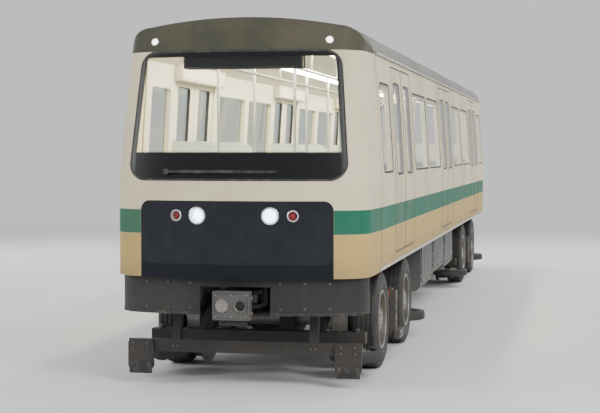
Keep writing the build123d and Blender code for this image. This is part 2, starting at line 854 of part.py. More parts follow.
def bogie_frame():
    """Two side beams, transoms round the pivot, end beams with guide wheel pins, brakes and drives."""
    frame = side_beam() + flipped(side_beam())
    for x in (-transom_x, transom_x):
        frame += block(span(x, transom_half), (-beam_half, beam_half), (beam_bottom, beam_top))
    centre = (-centre_half, centre_half)
    frame += block(centre, centre, (beam_top - pivot_reach, beam_top + centre_rise))
    frame -= rod((0, 0, 0), (0, 0, sill_z), pivot_radius + running_gap)
    for end in (-1, 1):
        frame += block(span(end * guide_x, end_beam_half), span(0, guide_y + 2 * guide_pin), end_beam_level)
        for side in (-1, 1):
            x, y = end * guide_x, side * guide_y
            frame += rod((x, y, collar_top - collar_depth), (x, y, end_beam_z), guide_pin)
            frame += rod((x, y, collar_top - collar_depth), (x, y, collar_top), guide_pin + collar_width)
            frame += tread_brake(end, side)
    frame += drive()
    return frame + Rot(0, 0, 180) * drive()


def axle_box(x, side):
    y = side * beam_half
    housing = block(span(x, box_half), span(y, beam_width / 2), (tyre_radius - box_half, box_top))
    housing = chamfer(housing.edges().filter_by(Axis.Y).group_by(Axis.Z)[0], box_half / 3)
    bore_ends = [(x, y + reach, tyre_radius) for reach in (-beam_width, beam_width)]
    return housing - rod(*bore_ends, axle_radius + running_gap)


collector_tip = 1060
bracket_places = (-190, 190)
bracket_half = 35
insulator_half = 280
hanger_half = 55
hanger_wall = 70
shoe_half = 190
shoe_wall = 60
shoe_half_height = 45
shoe_corner = 30


def collector(side):
    """Two brackets and an insulating beam, from which the shoe hangs that runs along the guide bar."""
    beam_level = (beam_bottom + 5, beam_bottom + 85)
    arm = block(span(0, insulator_half), (collector_tip - hanger_wall, collector_tip), beam_level)
    for x in bracket_places:
        bracket_level = (beam_bottom + 20, beam_bottom + 65)
        arm += block(span(x, bracket_half), (beam_half + beam_width / 2, collector_tip), bracket_level)
    hanger_level = (guide_z - shoe_half_height + 10, beam_bottom + 85)
    arm += block(span(0, hanger_half), (collector_tip, collector_tip + hanger_wall), hanger_level)
    shoe = RectangleRounded(2 * shoe_half, 2 * shoe_half_height, shoe_corner)
    shoe_plane = Plane.XZ.offset(-collector_tip - hanger_wall)
    arm += extrude(shoe_plane * (Pos(0, guide_z) * shoe), -shoe_wall)
    return arm if side > 0 else flipped(arm)


bogies = {"front": front_bogie_x, "rear": rear_bogie_x}
corners = [(1, 1), (1, -1), (-1, 1), (-1, -1)]
frame_form = bogie_frame()
for name, x in bogies.items():
    at = Pos(x, 0, 0)
    save(f"bogie_frame_{name}", at * frame_form)
    save(f"axle_boxes_{name}", *[at * axle_box(end * axle_half_base, side) for end, side in corners])
    rubber = []
    for end, side in corners:
        pad_x = span(end * axle_half_base, 80)
        rubber.append(block(pad_x, span(side * beam_half, 50), (box_top, beam_bottom)))
    for side in (-1, 1):
        y = side * beam_half
        rubber.append(rod((0, y, beam_top), (0, y, sill_z - seat_gap), spring_radius))
    save(f"suspension_{name}", *[at * piece for piece in rubber])
    save(f"collectors_{name}", at * collector(1), at * collector(-1))

# Wheelsets: an axle with a safety wheel and a rim at each end
rim_lip = 14
rim_wall = 30
web_place = 10
hub_radius = 120
hub_end = tyre_high - rim_wall
flange_radius = tyre_radius - flange_gap
tread_radius = tyre_radius - tread_gap
axle_outline = [  # radius, distance from the middle of the axle
    (0, 0),
    (axle_radius, 0),
    (axle_radius, safety_back),
    (flange_radius, safety_back),
    (flange_radius, safety_back + flange_width),
    (tread_radius, safety_back + flange_width),
    (tread_radius, safety_back + safety_width),
    (rim_radius, safety_back + safety_width),
    (rim_radius, tyre_high - rim_lip),
    (rim_radius - rim_wall, tyre_high - rim_lip),
    (rim_radius - rim_wall, tyre_centre + web_place),
    (hub_radius, tyre_centre + web_place),
    (hub_radius, hub_end),
    (0, hub_end),
]
half_axle = revolve(make_face(Polyline(*axle_outline, close=True)), Axis.Y)
axle = half_axle + flipped(half_axle)


def flat_disc(radius, width, flats):
    """Disc about Z whose rim is many flats, one of them facing -Y, so that its meshes stay light."""
    rim = RegularPolygon(radius, flats, major_radius=False, rotation=180 / flats - 90)
    return extrude(Pos(0, 0, -width / 2) * rim, width)


def tyre_form(radius, width, shoulder, flats):
    """Tyre with cut shoulders."""
    disc = flat_disc(radius, width, flats)
    rims = disc.edges().group_by(Axis.Z)
    return chamfer(rims[0] + rims[-1], shoulder)


rim_bore = flat_disc(rim_radius + seat_gap, tyre_width, tyre_flats)
tyre = tyre_form(tyre_radius, tyre_width, tyre_shoulder, tyre_flats) - rim_bore
upright = Pos(0, tyre_centre, tyre_radius) * Rot(90, 0, 0) * tyre
axle_places = [bogie + end * axle_half_base for bogie in bogies.values() for end in (1, -1)]
for number, x in enumerate(axle_places, start=1):
    save(f"axle_{number}", Pos(x, 0, tyre_radius) * axle)
    save(f"tyres_{number}", Pos(x, 0, 0) * upright, Pos(x, 0, 0) * flipped(upright))

# Guide wheels, each on a vertical pin
guide_bore = Cylinder(guide_pin + running_gap, guide_width)
guide_wheel = tyre_form(guide_radius, guide_width, guide_shoulder, guide_flats) - guide_bore
for name, bogie in bogies.items():
    for number, (end, side) in enumerate(corners, start=1):
        at = Pos(bogie + end * guide_x, side * guide_y, guide_z)
        save(f"guide_wheel_{name}_{number}", at * guide_wheel)

# Front coupler and rear drawbar, each on a vertical pin
head_depth = 150
head_half = 170
head_half_height = 130
head_chamfer = 40
horn_radius = 50
horn_depth = 80
shank_radius = 60
ear_clearance = 45
pin_bore = coupler_pin + running_gap


def eye(x, radius):
    """Round eye of the couplers' thickness about a vertical pin."""
    return rod((x, 0, coupler_z - tongue_half), (x, 0, coupler_z + tongue_half), radius)


head_rear = front_end - head_depth
coupler = block((head_rear, front_end), (-head_half, head_half), span(coupler_z, head_half_height))
coupler = chamfer(coupler.faces().sort_by(Axis.X)[0].edges(), head_chamfer)
horn_y = head_half / 2
coupler -= rod((front_end - horn_depth, horn_y, coupler_z), (front_end, horn_y, coupler_z), horn_radius)
coupler += rod((front_pin_x, 0, coupler_z), (head_rear, 0, coupler_z), shank_radius)
for level in ((0, coupler_z - tongue_half), (coupler_z + tongue_half, sill_z)):
    coupler -= block(span(front_pin_x, clevis_reach + ear_clearance), (-eye_radius, eye_radius), level)
coupler = coupler + eye(front_pin_x, eye_radius) - eye(front_pin_x, pin_bore)
save("front_coupler", coupler)

eye_x = rear_end + eye_radius
bar_half = 55
drawbar = block((eye_x, rear_pin_x), (-bar_half, bar_half), span(coupler_z, tongue_half))
for x in (eye_x, rear_pin_x):
    drawbar = drawbar + eye(x, eye_radius) - eye(x, pin_bore)
save("rear_drawbar", drawbar)
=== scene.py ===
import json
import math

import bpy
from mathutils import Matrix, Vector


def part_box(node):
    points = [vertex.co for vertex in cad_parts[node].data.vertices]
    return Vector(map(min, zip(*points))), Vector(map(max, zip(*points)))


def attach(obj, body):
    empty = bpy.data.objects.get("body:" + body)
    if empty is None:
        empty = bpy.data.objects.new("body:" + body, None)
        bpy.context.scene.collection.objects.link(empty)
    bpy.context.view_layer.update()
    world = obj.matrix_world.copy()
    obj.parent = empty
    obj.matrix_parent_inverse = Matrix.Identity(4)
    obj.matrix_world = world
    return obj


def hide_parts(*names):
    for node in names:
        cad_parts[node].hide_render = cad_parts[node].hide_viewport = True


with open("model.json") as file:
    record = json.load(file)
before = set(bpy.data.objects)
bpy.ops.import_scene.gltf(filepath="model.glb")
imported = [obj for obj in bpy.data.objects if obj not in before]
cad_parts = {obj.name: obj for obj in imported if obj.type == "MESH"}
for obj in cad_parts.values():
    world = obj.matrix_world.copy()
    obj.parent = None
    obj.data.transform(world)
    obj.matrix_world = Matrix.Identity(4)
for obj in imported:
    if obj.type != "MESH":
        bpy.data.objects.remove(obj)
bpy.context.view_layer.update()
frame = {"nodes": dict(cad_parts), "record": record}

# Places and sizes in metres, from the frame and from a few sizes of the car
wall_low, wall_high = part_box("side_wall_left")
lights_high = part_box("ceiling_lights")[1]
BODY_HALF = wall_high.y
CANTRAIL_HALF = BODY_HALF - 0.074
WALL_IN = BODY_HALF - 0.06
SILL_TUCK = 0.016
BOW = 3.2  # radius of the nose in plan
SILL_Z = wall_low.z
TUCK_Z = SILL_Z + 0.16
FLOOR_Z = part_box("floor")[1].z
PANEL_FOOT = 1.260
PANEL_HALF = 0.905
BAND = (1.44, 1.66)
LAMP_Z = 1.610
WAIST_Z = 1.95
WIPER_Z = 2.010
FRIT_TOP = 2.185
SCREEN_FOOT = 1.935
SCREEN_HALF = 0.985
SCREEN_TAPER = 0.0812
SCREEN_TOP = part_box("windscreen")[1].z
CEILING_Z = lights_high.z
CANTRAIL_Z = wall_high.z
CROWN_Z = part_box("roof_shell")[1].z
BROW_Z = CROWN_Z - 0.11
NOSE_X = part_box("front_mask")[1].x
MASK_X = wall_high.x
REAR_X = wall_low.x
MIDDLE_X = (REAR_X + MASK_X) / 2
FRAME_FRONT = NOSE_X - 0.590
REAR_DOOR = REAR_X + 2.19
FRONT_DOOR = MASK_X - 1.89
DOOR_CENTRES = [REAR_DOOR, (REAR_DOOR + FRONT_DOOR) / 2, FRONT_DOOR]
DOOR_LOW = FLOOR_Z - 0.03
DOOR_HIGH = CANTRAIL_Z - 0.06
BOGIES = {"front": 4.75, "rear": -5.25}
AXLE_HALF_BASE = 1.0
TYRE_RADIUS = 0.49
TYRE_Y = 0.99
TYRE_HALF = 0.135
TYRE_SIDE = [  # radius, distance from the tyre's side
    (0.302, 0.020), (0.318, 0.012), (0.350, 0.004), (0.400, 0.0), (0.440, 0.006), (0.466, 0.016),
    (0.484, 0.030),
]
GUIDE_X = 1.79
GUIDE_Y = 0.975
GUIDE_Z = 0.232
BEAM_Y = 0.56
BEAM_FACE = 0.62
BEAM_BOTTOM = 0.610
BEAM_TOP = 0.740
END_BEAM_TOP = 0.450
CASE_FACE = 1.060
CASE_SPACE = 0.100
CASE_ROWS = {  # side: share of the zone between the bogies and depth of each case, from the rear
    1: [(0.28, 0.62), (0.31, 0.57), (0.28, 0.64)],
    -1: [(0.31, 0.64), (0.29, 0.57)],
}
HOOD_PITCH = 3.2
HOODS = [MIDDLE_X + (k - 1.5) * HOOD_PITCH for k in range(4)]
SEAMS = [MIDDLE_X + k * HOOD_PITCH for k in (-2, -1, 0, 1, 2)]
SEAT_BACK = 0.8723  # from a door's middle to the back of the seat beside it
SEAT_INNER = WALL_IN - 0.86
SEAT_MIDDLE = (SEAT_INNER + WALL_IN) / 2
POLE_X = 0.855
POLE_Y = 0.6467
RAIL_Y = 0.33
RAIL_Z = 3.02
CORNERS = [(1, 1), (1, -1), (-1, 1), (-1, -1)]
AHEAD, BACK, ACROSS, UP, DOWN = (1, 0, 0), (-1, 0, 0), (0, 1, 0), (0, 0, 1), (0, 0, -1)
SAME = Matrix.Identity(4)
BOTH_SIDES = [SAME, Matrix.Scale(-1.0, 4, (0.0, 1.0, 0.0))]


class Signal:
    """A number, colour or vector that changes over a surface. Arithmetic on a number adds Math nodes."""

    def __init__(self, finish, socket):
        self.finish = finish
        self.socket = socket

    def maths(self, operation, first, second):
        return self.finish.add("ShaderNodeMath", {"operation": operation}, {0: first, 1: second})

    def __add__(self, other):
        return self.maths("ADD", self, other)

    def __radd__(self, other):
        return self.maths("ADD", other, self)

    def __sub__(self, other):
        return self.maths("SUBTRACT", self, other)

    def __rsub__(self, other):
        return self.maths("SUBTRACT", other, self)

    def __mul__(self, other):
        return self.maths("MULTIPLY", self, other)

    def __rmul__(self, other):
        return self.maths("MULTIPLY", other, self)

    def __abs__(self):
        return self.maths("ABSOLUTE", self, 0.0)

    def larger(self, other):
        return self.maths("MAXIMUM", self, other)

    def sine(self):
        return self.maths("SINE", self, 0.0)


class Finish:
    """One procedural material. Its constants are set on the shader's own sockets."""

    def __init__(self, name, **constants):
        self.material = bpy.data.materials.new(name)
        self.material.use_nodes = True
        self.nodes = self.material.node_tree.nodes
        self.links = self.material.node_tree.links
        self.shader = self.nodes["Principled BSDF"]
        for key, value in constants.items():
            self.shader.inputs[key.replace("_", " ")].default_value = value
        self.place = self.add("ShaderNodeTexCoord", {}, {}, "Object")
        self.x = self.add("ShaderNodeSeparateXYZ", {}, {0: self.place}, 0)
        self.y = self.add("ShaderNodeSeparateXYZ", {}, {0: self.place}, 1)
        self.z = self.add("ShaderNodeSeparateXYZ", {}, {0: self.place}, 2)

    def add(self, kind, settings, inputs, output=0):
        """Adds a node with its settings first and then its sockets' values or links."""
        node = self.nodes.new(kind)
        for key, value in settings.items():
            setattr(node, key, value)
        for key, value in inputs.items():
            if isinstance(value, Signal):
                self.links.new(value.socket, node.inputs[key])
            else:
                node.inputs[key].default_value = value
        return Signal(self, node.outputs[output])

    def feed(self, **signals):
        """Links signals to the shader's sockets."""
        for key, signal in signals.items():
            self.links.new(signal.socket, self.shader.inputs[key.replace("_", " ")])

    def shown(self, shader):
        """Puts a mixed shader on the surface and returns the material."""
        self.links.new(shader.socket, self.nodes["Material Output"].inputs["Surface"])
        return self.material

    def noise(self, scale, detail=3.0, stretch=(1.0, 1.0, 1.0)):
        vector = self.add("ShaderNodeMapping", {"vector_type": "POINT"}, {0: self.place, 3: stretch})
        return self.add("ShaderNodeTexNoise", {}, {"Vector": vector, "Scale": scale, "Detail": detail})

    def cells(self, scale):
        return self.add("ShaderNodeTexVoronoi", {}, {"Vector": self.place, "Scale": scale})

    def step(self, value, low, high):
        """Rises smoothly from 0 to 1 while the value goes from low to high."""
        settings = {"interpolation_type": "SMOOTHSTEP", "clamp": True}
        return self.add("ShaderNodeMapRange", settings, {0: value, 1: low, 2: high})

    def band(self, value, low, high, edge=0.002):
        """1 between low and high, and 0 outside."""
        return self.step(value, low - edge, low + edge) * self.step(value, high + edge, high - edge)

    def blend(self, factor, first, second):
        """Colour that goes from the first to the second with the factor."""
        return self.add("ShaderNodeMix", {"data_type": "RGBA"}, {0: factor, 6: first, 7: second}, 2)

    def done(self, colour, roughness, height=None, distance=0.0):
        """Links colour, roughness and relief, and returns the material."""
        self.feed(Base_Color=colour, Roughness=roughness)
        if height is not None:
            relief = {"Height": height, "Distance": distance, "Strength": 1.0}
            self.feed(Normal=self.add("ShaderNodeBump", {}, relief))
        return self.material


CREAM = (0.77, 0.67, 0.45, 1.0)
# Skirt colour: the cream paint darkened and warmed, which is painted shade and warm light, not another paint
SHADED_WARM_LIT_CREAM = (0.56, 0.385, 0.13, 1.0)
GREEN = (0.012, 0.135, 0.080, 1.0)
DARK_BLUE = (0.008, 0.010, 0.015, 1.0)
HEADER = (0.050, 0.052, 0.036, 1.0)
DUST = (0.20, 0.16, 0.11, 1.0)
LINING_TONE = (0.77, 0.71, 0.58, 1.0)
BACKDROP = (0.78, 0.79, 0.80, 1.0)


def weathered_paint(finish, colour, low_z, reach, amount=0.5, stain=1.0):
    """Cloudy tone, fine streaks and road dust that fades upwards from low_z."""
    cloud = finish.noise(1.3, 4.0)
    streak = finish.noise(9.0, 4.0, (1.0, 1.0, 0.06))
    toned = finish.blend(finish.step(cloud, 0.35, 0.7) * (0.24 * stain), colour, DUST)
    toned = finish.blend(finish.step(streak, 0.55, 0.8) * (0.14 * stain), toned, DUST)
    dusty = finish.step(finish.z + cloud * 0.12, low_z + reach, low_z) * amount
    return finish.blend(dusty, toned, DUST)


def body_paint():
    """Cream paint with a green band outside, painted shade and warm light on the skirt below the band, and
    the lining's tone inside.
    """
    finish = Finish("body_paint", Coat_Weight=0.03, Coat_Roughness=0.25, Specular_IOR_Level=0.16)
    outside = finish.step(abs(finish.y), 0.90, 0.91)
    # Painted shade and warm light: below the band the cream gets a darker, warmer tone than the same paint
    # above
    skirt = finish.step(finish.z, BAND[0], BAND[0] - 0.004) * outside
    colour = finish.blend(skirt, CREAM, SHADED_WARM_LIT_CREAM)
    colour = finish.blend(finish.band(finish.z, *BAND) * outside, colour, GREEN)
    on_mask = finish.step(finish.x, MASK_X + 0.02, MASK_X + 0.03)
    header = finish.step(finish.z, CANTRAIL_Z - 0.002, CANTRAIL_Z + 0.002) * on_mask
    colour = finish.blend(header, colour, HEADER)
    colour = weathered_paint(finish, colour, SILL_Z, 0.34, 0.38)
    lean = (finish.z - WAIST_Z).larger(0.0) * ((BODY_HALF - CANTRAIL_HALF) / (CANTRAIL_Z - WAIST_Z))
    inside = finish.step(abs(finish.y) + lean, WALL_IN + 0.030, WALL_IN + 0.026)
    inside = inside * finish.band(finish.x, REAR_X + 0.030, MASK_X - 0.004)
    colour = finish.blend(inside, colour, LINING_TONE)
    foot = finish.step(finish.z, PANEL_FOOT + 0.002, PANEL_FOOT - 0.002) * on_mask
    foot = foot * finish.step(abs(finish.y), PANEL_HALF + 0.001, PANEL_HALF - 0.001)
    relief = finish.noise(3.0, 2.0) + finish.noise(160.0) * 0.12
    return finish.done(finish.blend(foot, colour, DARK_BLUE),
                       finish.noise(4.0) * 0.18 + 0.52, relief, 0.0012)


def plain_paint(name, colour, low_z, reach, amount, roughness=0.5, grain=90.0, stain=1.0):
    finish = Finish(name, Specular_IOR_Level=0.30)
    return finish.done(weathered_paint(finish, colour, low_z, reach, amount, stain),
                       finish.noise(6.0) * 0.25 + (roughness - 0.12), finish.noise(grain, 4.0), 0.0008)


def dark_gloss():
    """Near-black gloss of the lamp panel and the display."""
    finish = Finish("dark_gloss", Coat_Weight=0.12, Coat_Roughness=0.05, Specular_IOR_Level=0.30)
    cloud = finish.noise(5.0, 5.0)
    worn = finish.step(cloud, 0.4, 0.75) * 0.5
    return finish.done(finish.blend(worn, DARK_BLUE, (0.018, 0.020, 0.026, 1.0)),
                       cloud * 0.2 + 0.12)


def glazing(name, tint, gloss, frit=None):
    """Glass that lets lamps through, with a black ceramic print where frit says."""
    finish = Finish(name, Base_Color=(0.006, 0.007, 0.008, 1.0), Roughness=0.25, Specular_IOR_Level=0.25)
    clear = finish.add("ShaderNodeBsdfTransparent", {}, {"Color": tint})
    mirror = finish.add("ShaderNodeBsdfGlossy", {}, {"Color": (0.9, 0.9, 0.9, 1.0), "Roughness": 0.02})
    inner_face = finish.add("ShaderNodeNewGeometry", {}, {}, "Backfacing")
    reflected = finish.add("ShaderNodeFresnel", {}, {"IOR": gloss}) * (1.0 - inner_face)
    glass = finish.add("ShaderNodeMixShader", {}, {0: reflected, 1: clear, 2: mirror})
    if frit:
        black = Signal(finish, finish.shader.outputs[0])
        glass = finish.add("ShaderNodeMixShader", {}, {0: frit(finish), 1: glass, 2: black})
    return finish.shown(glass)


def screen_frit(finish):
    """Dark band along the foot of the windscreen and a narrow one along its other edges."""
    foot = finish.step(finish.z, FRIT_TOP + 0.010, FRIT_TOP - 0.010)
    head = finish.step(finish.z, SCREEN_TOP - 0.055, SCREEN_TOP - 0.045)
    half_width = SCREEN_HALF - SCREEN_TAPER * (finish.z - SCREEN_FOOT)
    side = finish.step(abs(finish.y) - half_width, -0.005, 0.005)
    return foot.larger(head).larger(side)


def glow(name, colour, strength):
    """Diffuser that shines, a little dimmer in patches."""
    finish = Finish(name, Base_Color=(0.9, 0.9, 0.88, 1.0), Roughness=0.5, Emission_Strength=strength)
    dimmer = tuple(channel * 0.86 for channel in colour[:3]) + (1.0,)
    finish.feed(Emission_Color=finish.blend(finish.noise(2.5), colour, dimmer))
    return finish.material


def rubber(name, colour=(0.022, 0.022, 0.023, 1.0), dusty=0.35):
    finish = Finish(name)
    cloud = finish.noise(14.0, 5.0)
    return finish.done(finish.blend(finish.step(cloud, 0.4, 0.8) * dusty, colour, DUST),
                       cloud * 0.2 + 0.62, finish.noise(220.0, 4.0), 0.0006)


def metal(name, colour, roughness, stretch=(1.0, 1.0, 1.0), grime=0.4):
    """Bare or brushed metal with grime in patches."""
    finish = Finish(name)
    cloud = finish.noise(5.0, 6.0)
    brush = finish.noise(180.0, 3.0, stretch)
    dirty = finish.step(cloud, 0.45, 0.75) * grime
    finish.feed(Metallic=1.0 - dirty * 0.8)
    rough = brush * 0.2 + cloud * 0.15 + (roughness - 0.15)
    return finish.done(finish.blend(dirty, colour, DUST), rough, brush, 0.0003)


def lining():
    """Moulded pale plastic of the saloon's inside."""
    finish = Finish("lining", Coat_Weight=0.1)
    cloud = finish.noise(2.0)
    return finish.done(finish.blend(cloud, (0.80, 0.75, 0.63, 1.0), (0.73, 0.67, 0.54, 1.0)),
                       cloud * 0.15 + 0.38, finish.noise(260.0, 2.0), 0.0004)


def frosted_panel():
    """Milky laminate of the draught screens, greener towards their foot."""
    finish = Finish("frosted_panel", Coat_Weight=0.2, Coat_Roughness=0.1)
    foot = finish.step(finish.z, FLOOR_Z + 0.75, FLOOR_Z + 0.15)
    return finish.done(finish.blend(foot, (0.62, 0.67, 0.63, 1.0), (0.30, 0.42, 0.37, 1.0)),
                       finish.noise(5.0) * 0.15 + 0.28, finish.noise(300.0, 2.0), 0.0003)


def floor_vinyl():
    """Dark floor covering with pale flecks."""
    finish = Finish("floor_vinyl", Coat_Weight=0.15)
    fleck = finish.step(finish.cells(130.0), 0.25, 0.12)
    base = finish.blend(finish.noise(1.1), (0.10, 0.105, 0.115, 1.0), (0.14, 0.14, 0.145, 1.0))
    return finish.done(finish.blend(fleck * 0.5, base, (0.42, 0.40, 0.36, 1.0)),
                       finish.noise(3.0) * 0.25 + 0.35)


def moquette():
    """Woven seat cloth: a fine weave with small diamonds in a lighter green."""
    finish = Finish("moquette", Sheen_Weight=0.4, Sheen_Roughness=0.5)
    weave, motif = 1500.0, 90.0
    up = finish.x + finish.z
    diamond = finish.step((up * motif).sine() * (finish.y * motif).sine(), 0.45, 0.60)
    base = finish.blend(finish.noise(30.0), (0.020, 0.075, 0.085, 1.0), (0.030, 0.105, 0.11, 1.0))
    relief = (up * weave).sine() * (finish.y * weave).sine()
    return finish.done(finish.blend(diamond, base, (0.10, 0.26, 0.20, 1.0)),
                       finish.noise(60.0) * 0.1 + 0.8, relief, 0.0006)


def collector_paint():
    """Dark steel with a brown insulating beam that carries the shoe."""
    finish = Finish("collector_paint")
    beam = finish.band(abs(finish.y), 0.984, 1.064, 0.001) * finish.step(finish.z, 0.600, 0.604)
    colour = finish.blend(beam, (0.050, 0.050, 0.054, 1.0), (0.20, 0.050, 0.024, 1.0))
    return finish.done(weathered_paint(finish, colour, 0.0, 1.2, 0.25, 0.5),
                       finish.noise(9.0) * 0.25 + 0.30, finish.noise(70.0, 4.0), 0.0008)


PAINT = body_paint()
ROOF_PAINT = plain_paint("roof_paint", (0.24, 0.235, 0.215, 1.0), CANTRAIL_Z, 0.05, 0.4, 0.80)
FRAME_PAINT = plain_paint("frame_paint", (0.020, 0.021, 0.024, 1.0), 0.0, 1.2, 0.15, 0.60, stain=0.30)
CASE_PAINT = plain_paint("case_paint", (0.085, 0.090, 0.095, 1.0), 0.3, 0.7, 0.30, 0.55, stain=0.5)
COUPLER_PAINT = plain_paint("coupler_paint", (0.085, 0.085, 0.088, 1.0), 0.0, 1.4, 0.25, 0.42, stain=0.6)
SHELL = plain_paint("seat_shell", (0.42, 0.43, 0.42, 1.0), FLOOR_Z, 0.3, 0.2, 0.4, 200.0)
TAIL_RED = plain_paint("tail_red", (0.30, 0.012, 0.010, 1.0), 0.0, 0.5, 0.1, 0.3)
PANEL_GLOSS = dark_gloss()
SCREEN_GLASS = glazing("screen_glass", (0.96, 0.98, 0.96, 1.0), 1.35, screen_frit)
SIDE_GLASS = glazing("side_glass", (0.90, 0.92, 0.88, 1.0), 1.30)
LAMP_GLASS = glazing("lamp_glass", (0.97, 0.98, 1.0, 1.0), 1.35)
HEADLIGHT = glow("headlight", (0.74, 0.87, 1.0, 1.0), 8.0)
MARKER = glow("marker", (1.0, 0.93, 0.78, 1.0), 6.0)
CEILING_LIGHT = glow("ceiling_light", (1.0, 0.93, 0.76, 1.0), 46.0)
AMBER = glow("door_lamp", (1.0, 0.45, 0.08, 1.0), 1.2)
CHROME = metal("chrome", (0.80, 0.80, 0.80, 1.0), 0.22, grime=0.1)
BRIGHT = metal("bright_alloy", (0.78, 0.76, 0.70, 1.0), 0.26, (0.02, 1.0, 1.0), 0.15)
STEEL = metal("steel", (0.30, 0.285, 0.27, 1.0), 0.45, grime=0.75)
BOLT = metal("bolt_steel", (0.13, 0.125, 0.12, 1.0), 0.55, grime=0.6)
POLE = metal("pole_steel", (0.66, 0.66, 0.65, 1.0), 0.30, (1.0, 1.0, 0.02), 0.1)
ALLOY = metal("alloy", (0.55, 0.55, 0.54, 1.0), 0.36, (1.0, 0.04, 1.0), 0.25)
RUBBER = rubber("rubber")
TYRE = rubber("tyre_rubber", (0.034, 0.033, 0.032, 1.0), 0.22)
BELLOWS = rubber("bellows_rubber", (0.045, 0.045, 0.048, 1.0), 0.3)
LINING = lining()
VINYL = floor_vinyl()
CLOTH = moquette()
FROSTED = frosted_panel()
COLLECTOR = collector_paint()

# Finish of each CAD node that keeps its own shape, by its slot in the record
SLOT_FINISH = {
    "white_paint": PAINT, "dark_mask": PANEL_GLOSS, "grey_underframe": FRAME_PAINT, "roof_grey": ROOF_PAINT,
    "clear_glass": SIDE_GLASS, "lamp_glass": LAMP_GLASS, "black_rubber": RUBBER, "tyre_rubber": TYRE,
    "steel": STEEL, "seat_fabric": CLOTH, "floor_vinyl": VINYL, "light_panel": CEILING_LIGHT,
    "lining": LINING, "pole_steel": POLE, "equipment_paint": CASE_PAINT, "insulator": COLLECTOR,
}
NODE_FINISH = {"windscreen": SCREEN_GLASS, "headlamps": HEADLIGHT, "door_screens": FROSTED}
for subpart in frame["record"]["subparts"]:
    node_name = subpart["node"]
    node_mesh = frame["nodes"][node_name].data
    node_mesh.materials.clear()
    node_mesh.materials.append(NODE_FINISH.get(node_name, SLOT_FINISH[subpart["material_slot"]]))

# Camera at the photograph's viewpoint, with a longer lens
CAMERA_PLACE = (NOSE_X + 12.9, 3.13, 2.19)
CAMERA_AIM = (7.6, 0.62, 1.70)
CAMERA_LENS = 88.0


def aimed(place, aim):
    """Turn of a camera or a lamp at a place that looks at its aim."""
    return (Vector(aim) - Vector(place)).to_track_quat("-Z", "Y").to_euler()


def place_camera():
    bpy.ops.object.camera_add(location=CAMERA_PLACE)
    camera = bpy.context.object
    camera.name = "camera"
    camera.rotation_euler = aimed(CAMERA_PLACE, CAMERA_AIM)
    camera.data.lens = CAMERA_LENS
    camera.data.sensor_width = 36.0
    camera.data.clip_end = 200.0
    bpy.context.scene.camera = camera


def seen(finish):
    """1 for the camera and for reflections, 0 for the light on the object."""
    kinds = ("Is Camera Ray", "Is Glossy Ray", "Is Transmission Ray")
    camera, glossy, through = [finish.add("ShaderNodeLightPath", {}, {}, kind) for kind in kinds]
    return camera.larger(glossy).larger(through)


def ground_finish():
    """Pale floor that keeps the car's shadow and fades into the backdrop with distance."""
    finish = Finish("ground_finish", Roughness=0.95)
    tone = finish.blend(finish.noise(0.4), (0.80, 0.80, 0.79, 1.0), (0.78, 0.78, 0.77, 1.0))
    finish.feed(Base_Color=tone)
    away = finish.add("ShaderNodeVectorMath", {"operation": "LENGTH"}, {0: finish.place}, 1)
    backdrop = finish.add("ShaderNodeEmission", {}, {"Color": BACKDROP, "Strength": 1.0})
    floor = Signal(finish, finish.shader.outputs[0])
    faded = finish.step(away, 11.0, 30.0) * seen(finish)
    return finish.shown(finish.add("ShaderNodeMixShader", {}, {0: faded, 1: floor, 2: backdrop}))


def build_world():
    """Even pale light, with the backdrop's tone where the camera or a mirror sees it."""
    world = bpy.data.worlds.new("studio")
    bpy.context.scene.world = world
    world.use_nodes = True
    nodes = world.node_tree.nodes
    links = world.node_tree.links
    light = nodes["Background"]
    backdrop = nodes.new("ShaderNodeBackground")
    for shader, colour, strength in ((light, (0.90, 0.94, 1.0, 1.0), 0.70), (backdrop, BACKDROP, 1.0)):
        shader.inputs["Color"].default_value = colour
        shader.inputs["Strength"].default_value = strength
    path = nodes.new("ShaderNodeLightPath")
    seen_or_mirrored = nodes.new("ShaderNodeMath")
    seen_or_mirrored.operation = "MAXIMUM"
    mix = nodes.new("ShaderNodeMixShader")
    links.new(path.outputs["Is Camera Ray"], seen_or_mirrored.inputs[0])
    links.new(path.outputs["Is Glossy Ray"], seen_or_mirrored.inputs[1])
    for socket, source in enumerate((seen_or_mirrored, light, backdrop)):
        links.new(source.outputs[0], mix.inputs[socket])
    links.new(mix.outputs[0], nodes["World Output"].inputs["Surface"])


def build_stage():
    """Plain pale floor and soft lamps."""
    bpy.ops.mesh.primitive_plane_add(size=400.0, location=(0.0, 0.0, 0.0))
    ground = bpy.context.object
    ground.name = "ground"
    ground.data.materials.append(ground_finish())
    build_world()
    lamps = [  # place, aim, size, power
        ((16.0, 11.0, 10.0), (5.0, 0.0, 1.5), 8.0, 2000.0),
        ((13.0, -15.0, 8.0), (5.0, 0.0, 1.5), 7.0, 1100.0),
        ((-12.0, 8.0, 11.0), (-3.0, 0.0, 1.5), 9.0, 1500.0),
        ((-9.0, -11.0, 9.0), (-3.0, 0.0, 1.5), 9.0, 1000.0),
    ]
    for place, aim, size, power in lamps:
        bpy.ops.object.light_add(type="AREA", location=place)
        lamp = bpy.context.object
        lamp.rotation_euler = aimed(place, aim)
        lamp.data.size = size
        lamp.data.energy = power


# Ways of working: each ends in object mode, unless it says that the piece is open for shaping
def fresh():
    """Leaves edit mode and deselects everything."""
    active = bpy.context.view_layer.objects.active
    if active is not None and active.mode != "OBJECT":
        bpy.ops.object.mode_set(mode="OBJECT")
    bpy.ops.object.select_all(action="DESELECT")


def alone(piece):
    """Makes a piece the only one selected."""
    fresh()
    bpy.context.view_layer.objects.active = piece
    piece.select_set(True)
    return piece


def settle():
    """Puts the new piece's place into its mesh and returns it."""
    bpy.ops.object.transform_apply(location=True, rotation=True, scale=True)
    return bpy.context.object


